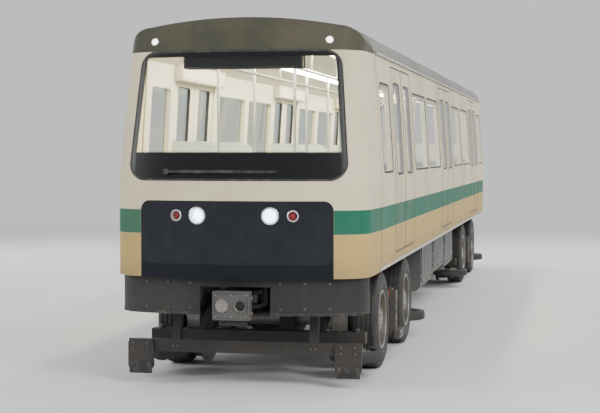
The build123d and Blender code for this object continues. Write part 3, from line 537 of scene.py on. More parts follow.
def block(low, high):
    """Box between two corners, to be shaped further."""
    fresh()
    low, high = Vector(low), Vector(high)
    bpy.ops.mesh.primitive_cube_add(size=1.0, location=(low + high) / 2, scale=high - low)
    return settle()


def drum(start, end, radius, sides=32):
    """Round bar or disc between two points."""
    fresh()
    start, end = Vector(start), Vector(end)
    bpy.ops.mesh.primitive_cone_add(
        vertices=sides, radius1=radius, radius2=radius, depth=(end - start).length,
        location=(start + end) / 2, rotation=(end - start).to_track_quat("Z", "Y").to_euler())
    return settle()


def hoop(centre, axis, radius, thickness, sides=48):
    """Round ring about an axis through its centre."""
    fresh()
    bpy.ops.mesh.primitive_torus_add(
        major_radius=radius, minor_radius=thickness, major_segments=sides, minor_segments=8,
        location=centre, rotation=Vector(axis).to_track_quat("Z", "Y").to_euler())
    return settle()


def shape(piece):
    """Opens a piece for shaping, with all its points picked."""
    alone(piece)
    bpy.ops.object.mode_set(mode="EDIT")
    bpy.ops.mesh.select_mode(type="VERT")
    bpy.ops.mesh.select_all(action="SELECT")


def pick(piece, test):
    """Picks the faces whose middle and normal pass the test, and opens the piece for shaping."""
    fresh()
    for group in (piece.data.vertices, piece.data.edges):
        group.foreach_set("select", [False] * len(group))
    for face in piece.data.polygons:
        face.select = bool(test(face.center, face.normal))
    bpy.context.tool_settings.mesh_select_mode = (False, False, True)
    alone(piece)
    bpy.ops.object.mode_set(mode="EDIT")


def pick_points(piece, test):
    """Picks the points whose place passes the test, and opens the piece for shaping."""
    fresh()
    for group in (piece.data.polygons, piece.data.edges):
        group.foreach_set("select", [False] * len(group))
    for vertex in piece.data.vertices:
        vertex.select = bool(test(vertex.co))
    alone(piece)
    bpy.ops.object.mode_set(mode="EDIT")
    bpy.ops.mesh.select_mode(type="VERT")


def push(x, y, z):
    """Extrudes what is picked."""
    bpy.ops.mesh.extrude_region_move(TRANSFORM_OT_translate={"value": (x, y, z)})


def facing(way):
    """Test for faces that look one way."""
    return lambda place, normal: normal.dot(Vector(way)) > 0.9


def sunk(piece, test, rim, *move):
    """Moves the picked faces in from a rim round them."""
    pick(piece, test)
    bpy.ops.mesh.inset(thickness=rim)
    push(*move)
    fresh()
    return piece


def line(points):
    """Draws a mesh line, from one vertex that is extruded from point to point, and leaves it open."""
    fresh()
    bpy.ops.mesh.primitive_plane_add(size=0.01, location=points[0])
    shape(settle())
    bpy.ops.mesh.merge(type="CENTER")
    for here, there in zip(points, points[1:]):
        push(*(Vector(there) - Vector(here)))
    return bpy.context.object


def cleaned(piece):
    """Merges doubles and turns all faces outwards."""
    shape(piece)
    bpy.ops.mesh.remove_doubles(threshold=0.0002)
    bpy.ops.mesh.normals_make_consistent(inside=False)
    bpy.ops.object.mode_set(mode="OBJECT")
    return piece


def lathe(profile, centre, axis, steps=48):
    """Turns a line of (radius, distance along the axis) points about an axis through the centre."""
    axis = Vector(axis).normalized()
    out = axis.orthogonal().normalized()
    piece = line([Vector(centre) + out * radius + axis * along for radius, along in profile])
    bpy.ops.mesh.select_all(action="SELECT")
    bpy.ops.mesh.spin(steps=steps, angle=math.tau, center=centre, axis=axis)
    return cleaned(piece)


def ring(section, centre, axis, steps=48):
    """Turns a closed section about an axis through the centre."""
    return lathe(section + section[:1], centre, axis, steps)


def finish_modifier(piece, kind, **settings):
    """Adds a modifier and applies it."""
    alone(piece)
    modifier = piece.modifiers.new(kind.lower(), kind)
    for key, value in settings.items():
        setattr(modifier, key, value)
    bpy.ops.object.modifier_apply(modifier=modifier.name)
    return piece


def rounded(piece, width, segments=2):
    """Rounds the sharp edges."""
    return finish_modifier(piece, "BEVEL", width=width, segments=segments, limit_method="ANGLE")


def slab(low, high, rounding, segments=2):
    """Block between two corners with rounded edges."""
    return rounded(block(low, high), rounding, segments)


def brick(middle, half, rounding, segments=2):
    """Block about its middle, with half its size each way and rounded edges."""
    middle, half = Vector(middle), Vector(half)
    return slab(middle - half, middle + half, rounding, segments)


def together(pieces):
    """Joins pieces into the first."""
    fresh()
    for piece in pieces:
        piece.select_set(True)
    bpy.context.view_layer.objects.active = pieces[0]
    if len(pieces) > 1:
        bpy.ops.object.join()
    return pieces[0]


def whole(pieces):
    """One piece from a list of pieces, or the piece itself."""
    return together(pieces) if isinstance(pieces, list) else pieces


def at(x, y, z):
    """Placing moved by a distance each way."""
    return Matrix.Translation((x, y, z))


def placed_copy(model, placing):
    """Copy of a model with its own mesh."""
    copy = model.copy()
    copy.data = model.data.copy()
    copy.data.transform(placing)
    if placing.determinant() < 0:
        copy.data.flip_normals()
    bpy.context.collection.objects.link(copy)
    return copy


def copied(pieces, placings):
    """Copies a model to each placing, each copy with its own mesh, and joins the copies."""
    model = whole(pieces)
    copies = [placed_copy(model, placing) for placing in placings]
    bpy.data.objects.remove(model)
    return together(copies)


def both(*pieces):
    """Joins pieces and copies them to the car's other side."""
    return copied(list(pieces), BOTH_SIDES)


# Hexagon head on a washer, one unit across, from which every bolt is copied
bolt_head = rounded(drum((0.0, 0.0, 0.0), (0.0, 0.0, 0.62), 0.5, 6), 0.04, 1)
bolt_washer = drum((0.0, 0.0, -0.04), (0.0, 0.0, 0.14), 0.68, 12)
BOLT_MODEL = together([bolt_head, bolt_washer])


def hex_bolt(place, axis, size):
    """Bolt whose head stands on a place along an axis, its size across the flats' corners."""
    turned = Vector(axis).to_track_quat("Z", "Y").to_matrix().to_4x4()
    return placed_copy(BOLT_MODEL, at(*place) @ turned @ Matrix.Scale(size, 4))


def bolt_ring(centre, axis, radius, count, size, turn=0.0):
    """Bolts on a circle about the Y or the Z axis, the first turned by a part of their spacing."""
    rise = Vector(UP if axis[1] else ACROSS)
    bolts = []
    for k in range(count):
        angle = math.tau * (k + turn) / count
        arm = Vector(AHEAD) * math.cos(angle) + rise * math.sin(angle)
        bolts.append(hex_bolt(Vector(centre) + arm * radius, axis, size))
    return bolts


def dress(pieces, name, finish, slot, *replaced, body="car_body", smooth=35.0):
    """Names a finished piece, gives it its finish, and makes it ride on its body."""
    piece = alone(whole(pieces))
    piece.name = name
    piece.data.name = name
    piece.data.materials.clear()
    piece.data.materials.append(finish)
    bpy.ops.object.shade_smooth_by_angle(angle=math.radians(smooth))
    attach(piece, body)
    if replaced:
        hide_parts(*replaced)
    return piece


def copy_of_node(name):
    """Merged copy of a CAD node's mesh without its stored normals, to be shaped."""
    copy = bpy.data.objects.new(name + "_copy", frame["nodes"][name].data.copy())
    bpy.context.collection.objects.link(copy)
    shape(copy)
    bpy.ops.mesh.customdata_custom_splitnormals_clear()
    bpy.ops.mesh.remove_doubles(threshold=0.00002)
    bpy.ops.object.mode_set(mode="OBJECT")
    return copy


def edge_seal(node, along, width, lift):
    """Rubber seal round the edges of a thin panel that faces along an axis, proud of it by lift."""
    seal = copy_of_node(node)
    axis = Vector(along)
    pick(seal, lambda middle, normal: abs(normal.dot(axis)) > 0.3)
    bpy.ops.mesh.delete(type="FACE")
    bpy.ops.mesh.select_all(action="SELECT")
    bpy.ops.mesh.remove_doubles(threshold=0.002)
    bpy.ops.mesh.tris_convert_to_quads()
    bpy.ops.transform.translate(value=axis * lift)
    bpy.ops.object.mode_set(mode="OBJECT")
    return finish_modifier(seal, "SOLIDIFY", thickness=width, offset=0.0)


def ribbon(points, across, thickness):
    """Strip drawn as a line, extruded sideways and given a thickness."""
    strip = line(points)
    bpy.ops.mesh.select_all(action="SELECT")
    push(*across)
    cleaned(strip)
    return finish_modifier(strip, "SOLIDIFY", thickness=thickness, offset=0.0)


def tube(points, radius, bend=0.0, roundness=3):
    """Round tube along a line of points, with its corners bent."""
    piece = line(points)
    bpy.ops.object.mode_set(mode="OBJECT")
    inner = [Vector(point) for point in points[1:-1]]
    if bend and inner:
        pick_points(piece, lambda place: any((place - corner).length < 0.0005 for corner in inner))
        bpy.ops.mesh.bevel(offset=bend, segments=5, affect="VERTICES")
    alone(piece)
    bpy.ops.object.convert(target="CURVE")
    curve = bpy.context.object.data
    curve.bevel_depth = radius
    curve.bevel_resolution = roundness
    curve.use_fill_caps = True
    bpy.ops.object.convert(target="MESH")
    return cleaned(bpy.context.object)


def cut(piece, place, normal, **side):
    """Cuts a piece on a plane and clears one side."""
    shape(piece)
    bpy.ops.mesh.bisect(plane_co=place, plane_no=normal, **side)
    bpy.ops.object.mode_set(mode="OBJECT")


def slice_of(node, x, width, grow):
    """Thin slice across the car from a copy of a node, a little proud of it."""
    piece = copy_of_node(node)
    cut(piece, (x - width / 2, 0.0, 0.0), AHEAD, clear_inner=True)
    cut(piece, (x + width / 2, 0.0, 0.0), AHEAD, clear_outer=True)
    return finish_modifier(piece, "SOLIDIFY", thickness=grow, offset=1.0)


# Places on the leaning side wall and on the bowed nose
def wall_y(z):
    """Distance of the side wall's skin from the car's middle."""
    if z < TUCK_Z:
        return BODY_HALF - SILL_TUCK * (TUCK_Z - z) / (TUCK_Z - SILL_Z)
    return BODY_HALF - (BODY_HALF - CANTRAIL_HALF) * max(0.0, (z - WAIST_Z) / (CANTRAIL_Z - WAIST_Z))


NOSE_STEPS = [(0.0, 0.0), (WAIST_Z, 0.0), (CANTRAIL_Z, 0.20), (BROW_Z, 0.29), (CROWN_Z + 0.04, 0.46)]


def nose_x(y, z):
    """Place of the nose's skin, which is bowed in plan and raked above the waist."""
    back = 0.0
    for (low_z, low_back), (high_z, high_back) in zip(NOSE_STEPS, NOSE_STEPS[1:]):
        if low_z <= z <= high_z:
            back = low_back + (high_back - low_back) * (z - low_z) / (high_z - low_z)
    return NOSE_X - back - (BOW - math.sqrt(BOW * BOW - y * y))


# Seals round the glass and the door leaves
def build_seals():
    seal = edge_seal("windscreen", AHEAD, 0.020, 0.002)
    dress(seal, "windscreen_seal", RUBBER, "black_rubber")
    panels = (("side_glass", "glass_seals", 0.022, 0.0015), ("door_leaves", "door_seals", 0.016, 0.0012))
    for side, sign in (("left", 1), ("right", -1)):
        for node, name, width, lift in panels:
            seal = edge_seal(f"{node}_{side}", (0, sign, 0), width, lift)
            dress(seal, f"{name}_{side}", RUBBER, "black_rubber")


# Bright strip along the gutters, the joint between body and mask, and the rails along the sills
def build_edges():
    low_x, high_x = REAR_X + 0.004, MASK_X - 0.004
    y = CANTRAIL_HALF + 0.020
    strip = slab((low_x, y - 0.003, CANTRAIL_Z + 0.001), (high_x, y + 0.0015, CANTRAIL_Z + 0.021), 0.0015)
    dress(both(strip), "gutter_strips", BRIGHT, "steel")
    joint = slice_of("front_mask", MASK_X + 0.005, 0.008, 0.0012)
    dress(joint, "mask_joint", RUBBER, "black_rubber")
    rail = [(low_x, wall_y(SILL_Z + 0.010) + 0.0006, SILL_Z + 0.004),
            (low_x, wall_y(SILL_Z + 0.034) + 0.0006, SILL_Z + 0.034)]
    dress(both(ribbon(rail, (high_x - low_x, 0.0, 0.0), 0.004)), "sill_rails", ALLOY, "steel")


# Door details: finger guards where the leaves meet, thresholds, covers and lamps over the doors inside
DOOR_PLACES = [side @ at(middle, 0.0, 0.0) for middle in DOOR_CENTRES for side in BOTH_SIDES]


def build_doors():
    levels = [DOOR_LOW + 0.006, TUCK_Z, WAIST_Z, DOOR_HIGH - 0.006]
    guards = [ribbon([(-width / 2, wall_y(z) + depth, z) for z in levels], (width, 0.0, 0.0), thickness)
              for width, depth, thickness in ((0.0210, -0.018, 0.034), (0.0024, 0.0004, 0.003))]
    dress(copied(guards, DOOR_PLACES), "finger_guards", RUBBER, "black_rubber")
    plate = slab((-0.80, WALL_IN - 0.105, FLOOR_Z), (0.80, WALL_IN - 0.004, FLOOR_Z + 0.005), 0.002)
    ribs = [brick((0.0, WALL_IN - 0.091 + 0.016 * k, FLOOR_Z + 0.006), (0.78, 0.004, 0.002), 0.0015)
            for k in range(6)]
    dress(copied([plate, *ribs], DOOR_PLACES), "thresholds", ALLOY, "steel")
    cover = brick((0.0, 1.049, 3.020), (0.93, 0.049, 0.090), 0.020, 3)
    sunk(cover, facing((0, -1, 0)), 0.018, 0.0, 0.004, 0.0)
    dress(copied(cover, DOOR_PLACES), "door_gear_covers", LINING, "lining")
    lamp = brick((0.0, 0.999, 2.9985), (0.045, 0.007, 0.0135), 0.004)
    dress(copied(lamp, DOOR_PLACES), "door_lamps", AMBER, "light_panel")


# Lamps: bowl, bright bulb, domed lens and bezel
def build_lamps():
    lamps = [  # name, y, z, radius, finish of the bulb, nodes that the lens stands for
        ("headlamps", 0.340, LAMP_Z, 0.0720, HEADLIGHT, ["headlamps"]),
        ("tail_lamps", 0.545, LAMP_Z, 0.0480, TAIL_RED, ["tail_lamps"]),
        ("marker_lamps", 0.830, BROW_Z - 0.115, 0.0340, MARKER, []),
    ]
    for name, y, z, radius, bulb_finish, replaced in lamps:
        place = Vector((nose_x(y, z), y, z))
        lean = Vector((1.0, y / BOW, 0.27 if z > WAIST_Z else 0.0)).normalized()
        inner, outer, rim = radius - 0.004, radius - 0.0005, radius * 1.10
        edge = inner * 0.93
        bowl = ring([(0.008, -0.044), (inner * 0.55, -0.036), (inner * 0.88, -0.014), (inner, 0.0005),
                     (outer, 0.0005), (outer, -0.030), (inner * 0.62, -0.050), (0.008, -0.052)],
                    place, lean, 40)
        bezel = ring([(edge, 0.001), (inner * 0.95, 0.0045), (radius * 1.02, 0.0050), (rim, 0.0020),
                      (rim, -0.002), (edge, -0.002)], place, lean, 40)
        dress(both(bowl, bezel), f"{name}_bowls", CHROME, "lamp_glass")
        bulb = ring([(0.0, -0.012), (inner * 0.34, -0.014), (inner * 0.58, -0.020), (inner * 0.68, -0.030),
                     (0.0, -0.036)], place, lean, 32)
        dress(both(bulb), f"{name}_bulbs", bulb_finish, "lamp_glass")
        lens = ring([(0.0, 0.0060), (inner * 0.5, 0.0050), (edge, 0.0015), (edge, -0.0015),
                     (inner * 0.5, 0.0020), (0.0, 0.0030)], place, lean, 32)
        dress(both(lens), f"{name}_lenses", LAMP_GLASS, "lamp_glass", *replaced)


# Seats: a moulded pan and back shell with upholstered pads, drawn on the left with the back at x = 0
def seat_places():
    """Where a seat is copied to."""
    rows = []  # x of the back, way it faces
    for behind, ahead in zip(DOOR_CENTRES, DOOR_CENTRES[1:]):
        between = (behind + ahead) / 2
        rows += [(behind + SEAT_BACK, 1), (between - 0.015, -1)]
        rows += [(between + 0.015, 1), (ahead - SEAT_BACK, -1)]
    rows += [(REAR_DOOR - SEAT_BACK, -1), (FRONT_DOOR + SEAT_BACK, 1)]
    return [side @ at(back_x, 0.0, 0.0) @ Matrix.Scale(way, 4, (1.0, 0.0, 0.0))
            for back_x, way in rows for side in BOTH_SIDES]


def upholstered(low, high, crown_axis):
    """Pad blown up as cloth from a rounded block, with a seam round its edge and two quilted lines."""
    low, high = Vector(low), Vector(high)
    middle = (low + high) / 2
    pad = block(low - middle, high - middle)
    rounded(pad, 0.020, 3)
    finish_modifier(pad, "REMESH", mode="VOXEL", voxel_size=0.007)
    blow_up(pad, 4.0, 0.009)
    pick(pad, lambda place, normal: abs(place[crown_axis]) < 0.0045 and abs(normal[crown_axis]) < 0.5)
    bpy.ops.transform.shrink_fatten(value=0.0035)
    for share in (-0.30, 0.30):
        line_y = share * (high.y - low.y)
        pick(pad, lambda place, normal: abs(place.y - line_y) < 0.004 and normal[crown_axis] > 0.7)
        bpy.ops.transform.shrink_fatten(value=-0.0035)
    finish_modifier(pad, "DECIMATE", ratio=0.14)
    pad.data.transform(Matrix.Translation(middle))
    return pad


def blow_up(pad, pressure, cap):
    """Swells a closed mesh as cloth under pressure and keeps each point within the cap."""
    rest = [vertex.co.copy() for vertex in pad.data.vertices]
    alone(pad)
    cloth = pad.modifiers.new("cloth", "CLOTH")
    cloth.settings.quality = 4
    cloth.settings.use_pressure = True
    cloth.settings.uniform_pressure_force = pressure
    cloth.settings.effector_weights.gravity = 0.0
    cloth.point_cache.frame_end = 20
    for frame_number in range(1, 21):
        bpy.context.scene.frame_set(frame_number)
    swollen = pad.evaluated_get(bpy.context.evaluated_depsgraph_get()).to_mesh()
    places = [vertex.co.copy() for vertex in swollen.vertices]
    pad.modifiers.remove(cloth)
    for vertex, start, end in zip(pad.data.vertices, rest, places):
        move = end - start
        vertex.co = start + move * min(1.0, cap / max(move.length, 1e-6))
    bpy.context.scene.frame_set(1)


def build_seats():
    places = seat_places()
    inner_y, outer_y = SEAT_INNER + 0.004, WALL_IN - 0.004
    pan = slab((0.030, inner_y, 1.541), (0.424, outer_y, 1.566), 0.010, 3)
    sunk(pan, facing(DOWN), 0.030, 0.0, 0.0, 0.010)
    back = slab((0.001, inner_y, 1.556), (0.022, outer_y, 2.088), 0.009, 3)
    sunk(back, lambda place, normal: normal.x < -0.9 and place.z > 1.7, 0.045, 0.006, 0.0, 0.0)
    divider = slab((0.022, SEAT_MIDDLE - 0.007, 1.560), (0.060, SEAT_MIDDLE + 0.007, 2.070), 0.005)
    dress(copied([pan, back, divider], places), "seat_shells", SHELL, "lining")
    low_y, high_y = SEAT_INNER + 0.012, SEAT_MIDDLE - 0.010
    seat_pad = upholstered((0.072, low_y, 1.566), (0.420, high_y, 1.622), 2)
    back_pad = upholstered((0.024, low_y, 1.640), (0.066, high_y, 2.066), 0)
    pair = copied([seat_pad, back_pad], [SAME, at(0.0, SEAT_MIDDLE + 0.010 - low_y, 0.0)])
    cushions = copied(pair, places)
    dress(cushions, "seat_pads", CLOTH, "seat_fabric", "seats", smooth=60.0)
    leg_top = 1.552
    leg = slab((0.166, SEAT_MIDDLE - 0.024, FLOOR_Z + 0.012), (0.214, SEAT_MIDDLE + 0.024, 1.545), 0.012, 3)
    foot = brick((0.190, SEAT_MIDDLE, FLOOR_Z + 0.007), (0.065, 0.075, 0.007), 0.005)
    arm = tube([(0.060, SEAT_MIDDLE, leg_top), (0.190, SEAT_MIDDLE, 1.500), (0.380, SEAT_MIDDLE, leg_top)],
               0.014, 0.05)
    bolts = [hex_bolt((0.190 + 0.045 * dx, SEAT_MIDDLE + 0.055 * dy, FLOOR_Z + 0.014), UP, 0.018)
             for dx, dy in CORNERS]
    grip = [(0.030, 1.900), (-0.022, 1.925), (-0.022, 2.085), (0.060, 2.100), (0.060, 2.080)]
    grip = tube([(0.012, SEAT_INNER + dy, z) for dy, z in grip], 0.011, 0.028)
    dress(copied([leg, foot, arm, grip, *bolts], places), "seat_legs", POLE, "pole_steel")


# Saloon: handrails under the ceiling, pole collars, air grilles and the lights' edges
def build_saloon():
    rear, front, top = REAR_X + 0.35, MASK_X + 0.42, CEILING_Z + 0.001
    rail = [(rear, RAIL_Y, top), (rear, RAIL_Y, RAIL_Z), (front, RAIL_Y, RAIL_Z), (front, RAIL_Y, top)]
    rails = [tube(rail, 0.0165, 0.11, 4)]
    bays = 9
    for k in range(1, bays):
        x = rear + (front - rear) * k / bays
        rails.append(drum((x, RAIL_Y, RAIL_Z), (x, RAIL_Y, top), 0.011, 16))
        rails.append(drum((x, RAIL_Y, CEILING_Z - 0.008), (x, RAIL_Y, top), 0.032, 20))
        rails.append(hoop((x, RAIL_Y, RAIL_Z), AHEAD, 0.017, 0.004, 16))
    dress(both(*rails), "handrails", POLE, "pole_steel")
    collars = [lathe([(0.0175, low_z), (radius, low_z), (radius * 0.9, high_z), (0.0175, high_z)],
                     (0.0, 0.0, 0.0), UP, 20)
               for low_z, high_z, radius in ((FLOOR_Z, FLOOR_Z + 0.016, 0.036),
                                             (CEILING_Z - 0.004, CEILING_Z + 0.012, 0.034))]
    poles = [(0.0, 0.0)] + [(end * POLE_X, side * POLE_Y) for end, side in CORNERS]
    spots = [at(middle + x, y, 0.0) for middle in DOOR_CENTRES for x, y in poles]
    dress(copied(collars, spots), "pole_collars", POLE, "pole_steel")
    tray = block((-0.60, -0.15, CEILING_Z + 0.006), (0.60, 0.15, CEILING_Z + 0.018))
    sunk(tray, facing(DOWN), 0.016, 0.0, 0.0, 0.007)
    rounded(tray, 0.002)
    slat = block((-0.582, -0.006, CEILING_Z + 0.009), (0.582, 0.006, CEILING_Z + 0.011))
    shape(slat)
    bpy.ops.transform.rotate(value=0.5, orient_axis="X", center_override=(0.0, 0.0, CEILING_Z + 0.010))
    fresh()
    slats = copied(slat, [at(0.0, -0.121 + 0.022 * n, 0.0) for n in range(12)])
    dress(copied([tray, slats], [at(x, 0.0, 0.0) for x in HOODS]), "ceiling_grilles", ALLOY, "steel")
    trims = [slab((REAR_X + 0.05, y - 0.007, CEILING_Z - 0.003),
                  (lights_high.x + 0.01, y + 0.007, CEILING_Z + 0.016), 0.004) for y in (0.428, 0.612)]
    dress(both(*trims), "light_trims", ALLOY, "steel")


# Gangway bellows: a tube of folded rubber
def build_bellows():
    low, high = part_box("gangway_bellows")
    middle = (low + high) / 2
    half_y, half_z = high.y - 0.006, (high.z - low.z) / 2 - 0.006
    fold = 0.042
    fresh()
    bpy.ops.mesh.primitive_plane_add(
        size=2.0, location=(low.x + 0.001, 0.0, middle.z), rotation=(0.0, math.pi / 2, 0.0),
        scale=(half_z - fold, half_y - fold, 1.0))
    folds = settle()
    shape(folds)
    bpy.ops.mesh.bevel(offset=0.105, segments=6, affect="VERTICES")
    bpy.ops.mesh.delete(type="ONLY_FACE")
    bpy.ops.mesh.select_all(action="SELECT")
    pleats = 5
    step = (high.x - low.x - 0.002) / (pleats * 4)
    grow = Vector((1.0, half_y / (half_y - fold), half_z / (half_z - fold)))
    shrink = Vector((1.0, 1.0 / grow.y, 1.0 / grow.z))
    for _ in range(pleats):
        for scale in (grow, shrink):
            push(step * 1.6, 0.0, 0.0)
            bpy.ops.transform.resize(value=scale, center_override=(middle.x, 0.0, middle.z))
            push(step * 0.4, 0.0, 0.0)
    cleaned(folds)
    finish_modifier(folds, "SOLIDIFY", thickness=0.006, offset=-1.0)
    rounded(folds, 0.003, 2)
    dress(folds, "bellows_folds", BELLOWS, "black_rubber", "gangway_bellows", smooth=50.0)


def mirrored(half):
    """Section of a wheel whose second half mirrors the first."""
    return half + [(radius, -along) for radius, along in reversed(half)]


# Load tyres with grooved tread, and the wheels that carry them
def build_tyres():
    half = [(radius, inset - TYRE_HALF) for radius, inset in TYRE_SIDE]
    for groove in (-0.072, -0.024):
        half += [(TYRE_RADIUS, groove - 0.006), (TYRE_RADIUS - 0.008, groove - 0.004),
                 (TYRE_RADIUS - 0.008, groove + 0.004), (TYRE_RADIUS, groove + 0.006)]
    axles = [bogie + end * AXLE_HALF_BASE for bogie in BOGIES.values() for end in (1, -1)]
    for number, x in enumerate(axles, start=1):
        body = f"wheelset_{number}"
        tyres = []
        fittings = []
        for side in (1, -1):
            out = (0, side, 0)
            tyres.append(lathe(mirrored(half), (x, side * TYRE_Y, TYRE_RADIUS), out, 72))
            tyres += [hoop((x, side * (TYRE_Y + TYRE_HALF - inset), TYRE_RADIUS), ACROSS, radius, 0.003, 72)
                      for radius, inset in ((0.425, 0.003), (0.345, 0.006))]
            fittings += bolt_ring((x, side * (TYRE_Y + 0.010), TYRE_RADIUS), out, 0.195, 10, 0.034)
            fittings += bolt_ring((x, side * (TYRE_Y + 0.109), TYRE_RADIUS), out, 0.096, 6, 0.018, 0.5)
            fittings.append(hoop((x, side * (TYRE_Y + 0.119), TYRE_RADIUS), ACROSS, 0.286, 0.010, 64))
            fittings.append(lathe([(0.0, 0.016), (0.050, 0.014), (0.088, 0.006), (0.112, 0.0)],
                                  (x, side * (TYRE_Y + 0.105), TYRE_RADIUS), out, 32))
        dress(tyres, f"tyre_pair_{number}", TYRE, "tyre_rubber", f"tyres_{number}", body=body)
        dress(fittings, f"hub_fittings_{number}", STEEL, "steel", body=body)


# Guide wheels: solid rubber tread on a dished steel wheel
def build_guide_wheels():
    tread = mirrored([(0.200, -0.050), (0.240, -0.054), (0.262, -0.048), (0.270, -0.030)]) + [(0.198, 0.0)]
    disc = mirrored([(0.0455, -0.057), (0.085, -0.057), (0.090, -0.030), (0.170, -0.016), (0.186, -0.046),
                     (0.2005, -0.048)])
    for name, bogie in BOGIES.items():
        for number, (end, side) in enumerate(CORNERS, start=1):
            place = Vector((bogie + end * GUIDE_X, side * GUIDE_Y, GUIDE_Z))
            body = f"guide_{name}_{number}"
            dress(ring(tread, place, UP, 64), f"guide_tread_{name}_{number}", TYRE, "tyre_rubber",
                  f"guide_wheel_{name}_{number}", body=body)
            pieces = [ring(disc, place, UP)]
            for way in (UP, DOWN):
                pieces += bolt_ring(place + Vector(way) * 0.023, way, 0.13, 8, 0.022)
            dress(pieces, f"guide_disc_{name}_{number}", STEEL, "steel", body=body)


# Air springs under the body and rubber pads over the axle boxes
def build_springs():
    for name, bogie in BOGIES.items():
        low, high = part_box(f"suspension_{name}")
        profile = [
            (0.0, 0.741), (0.150, 0.741), (0.156, 0.765), (0.128, 0.790), (0.130, 0.835), (0.168, 0.842),
            (0.186, 0.868), (0.1895, 0.905), (0.182, 0.945), (0.160, 0.968), (0.148, 0.990), (0.150, 1.012),
            (0.172, 1.016), (0.174, high.z), (0.0, high.z),
        ]
        pieces = []
        for side in (1, -1):
            pieces.append(lathe(profile, (bogie, side * BEAM_Y, 0.0), UP))
            pieces.append(hoop((bogie, side * BEAM_Y, 0.846), UP, 0.172, 0.006))
        for end, side in CORNERS:
            place = Vector((bogie + end * AXLE_HALF_BASE, side * BEAM_Y, low.z))
            pieces += [brick(place + Vector((0.0, 0.0, rise)), (0.080, 0.050, 0.006), 0.0035)
                       for rise in (0.0063, 0.0187)]
        dress(pieces, f"air_springs_{name}", RUBBER, "black_rubber", f"suspension_{name}",
              body=f"bogie_{name}")


# Bogie fittings, of one bogie each
def bogie_bolts(bogie):
    """Bolts of the frame, with the caps of the guide wheels' pins and the rims of the axle boxes."""
    bolts = []
    top = END_BEAM_TOP - 0.001
    for end, side in CORNERS:
        x, y = bogie + end * GUIDE_X, side * GUIDE_Y
        axle_x = bogie + end * AXLE_HALF_BASE
        bolts.append(hex_bolt((x, y, top), UP, 0.055))
        bolts.append(hex_bolt((bogie + 0.17 * end, 0.17 * side, BEAM_TOP + 0.029), UP, 0.030))
        bolts += [hex_bolt((x + dx, side * BEAM_Y, top), UP, 0.024) for dx in (-0.045, 0.035)]
        bolts += [hex_bolt((axle_x + dx, side * BEAM_Y, BEAM_TOP - 0.001), UP, 0.026)
                  for dx in (-0.06, 0.06)]
        for dx, dy in CORNERS:
            bolts.append(hex_bolt((x + 0.045 * dx, y - side * 0.22 + 0.045 * dy, top), UP, 0.024))
            place = (axle_x + 0.085 * dx, side * (BEAM_FACE - 0.0005), TYRE_RADIUS + 0.074 * dy)
            bolts.append(hex_bolt(place, (0, side, 0), 0.022))
        bolts.append(lathe([(0.0, 0.012), (0.040, 0.012), (0.052, 0.006), (0.055, 0.0)],
                           (x, y, GUIDE_Z - 0.0918), DOWN, 28))
        bolts.append(hoop((axle_x, side * (BEAM_FACE + 0.001), TYRE_RADIUS), ACROSS, 0.087, 0.006, 32))
    return bolts


def brake_parts(bogie):
    """Cylinder, cover and air pipe of each brake unit, and the boxes where the pipes meet."""
    parts = []
    cylinder = [(0.0, 0.060), (0.050, 0.058), (0.062, 0.048), (0.066, 0.0), (0.066, -0.010), (0.0, -0.010)]
    pipe_y, pipe_z = BEAM_FACE + 0.008, BEAM_TOP - 0.030
    for end, side in CORNERS:
        y = side * 0.772
        back = bogie + end * 0.386
        parts.append(lathe(cylinder, (back, y, TYRE_RADIUS), (-end, 0, 0), 28))
        parts.append(brick((bogie + end * 0.48, y, TYRE_RADIUS + 0.094), (0.070, 0.044, 0.006), 0.004))
        pipe_x = back - end * 0.030
        pipe = [(pipe_x, y, TYRE_RADIUS + 0.040), (pipe_x, y - side * 0.10, TYRE_RADIUS + 0.11),
                (pipe_x, side * pipe_y, pipe_z), (bogie + end * 0.03, side * pipe_y, pipe_z)]
        parts.append(tube(pipe, 0.009, 0.035))
    for side in (1, -1):
        place = (bogie, side * (BEAM_FACE + 0.0135), BEAM_TOP - 0.0325)
        parts.append(brick(place, (0.040, 0.0145, 0.0225), 0.005))
    return parts


def drive_parts(bogie):
    """Cooling ribs, terminal box and bolts of each motor and gear case."""
    parts = []
    for end in (1, -1):
        x, axle_x = bogie + end * 0.60, bogie + end * AXLE_HALF_BASE
        parts += [hoop((x, -end * (0.255 - 0.034 * k), TYRE_RADIUS), ACROSS, 0.184, 0.006, 40)
                  for k in range(9)]
        parts.append(brick((x, -end * 0.21, TYRE_RADIUS - 0.1825), (0.075, 0.080, 0.0325), 0.010))
        parts.append(hoop((axle_x, end * 0.2405, TYRE_RADIUS), ACROSS, 0.105, 0.008, 40))
        parts += bolt_ring((axle_x, end * 0.2395, TYRE_RADIUS), (0, end, 0), 0.190, 12, 0.020)
        parts += bolt_ring((x, -end * 0.3695, TYRE_RADIUS), (0, -end, 0), 0.115, 6, 0.018)
    return parts


def collector_parts(bogie):
    """Bolts of the collectors and the wearing strip of each shoe."""
    parts = []
    shoe_y = 1.1885
    for side in (1, -1):
        out = (0, side, 0)
        for dx in (-0.19, 0.19):
            parts.append(hex_bolt((bogie + dx, side * 1.025, BEAM_BOTTOM + 0.084), UP, 0.030))
            parts += [hex_bolt((bogie + dx * 0.80, side * shoe_y, GUIDE_Z + dz), out, 0.014)
                      for dz in (-0.015, 0.015)]
        parts += [hex_bolt((bogie, side * 1.1295, z), out, 0.022) for z in (0.36, 0.46, 0.56)]
        parts.append(brick((bogie, side * shoe_y, GUIDE_Z), (0.150, 0.003, 0.006), 0.002))
    return parts


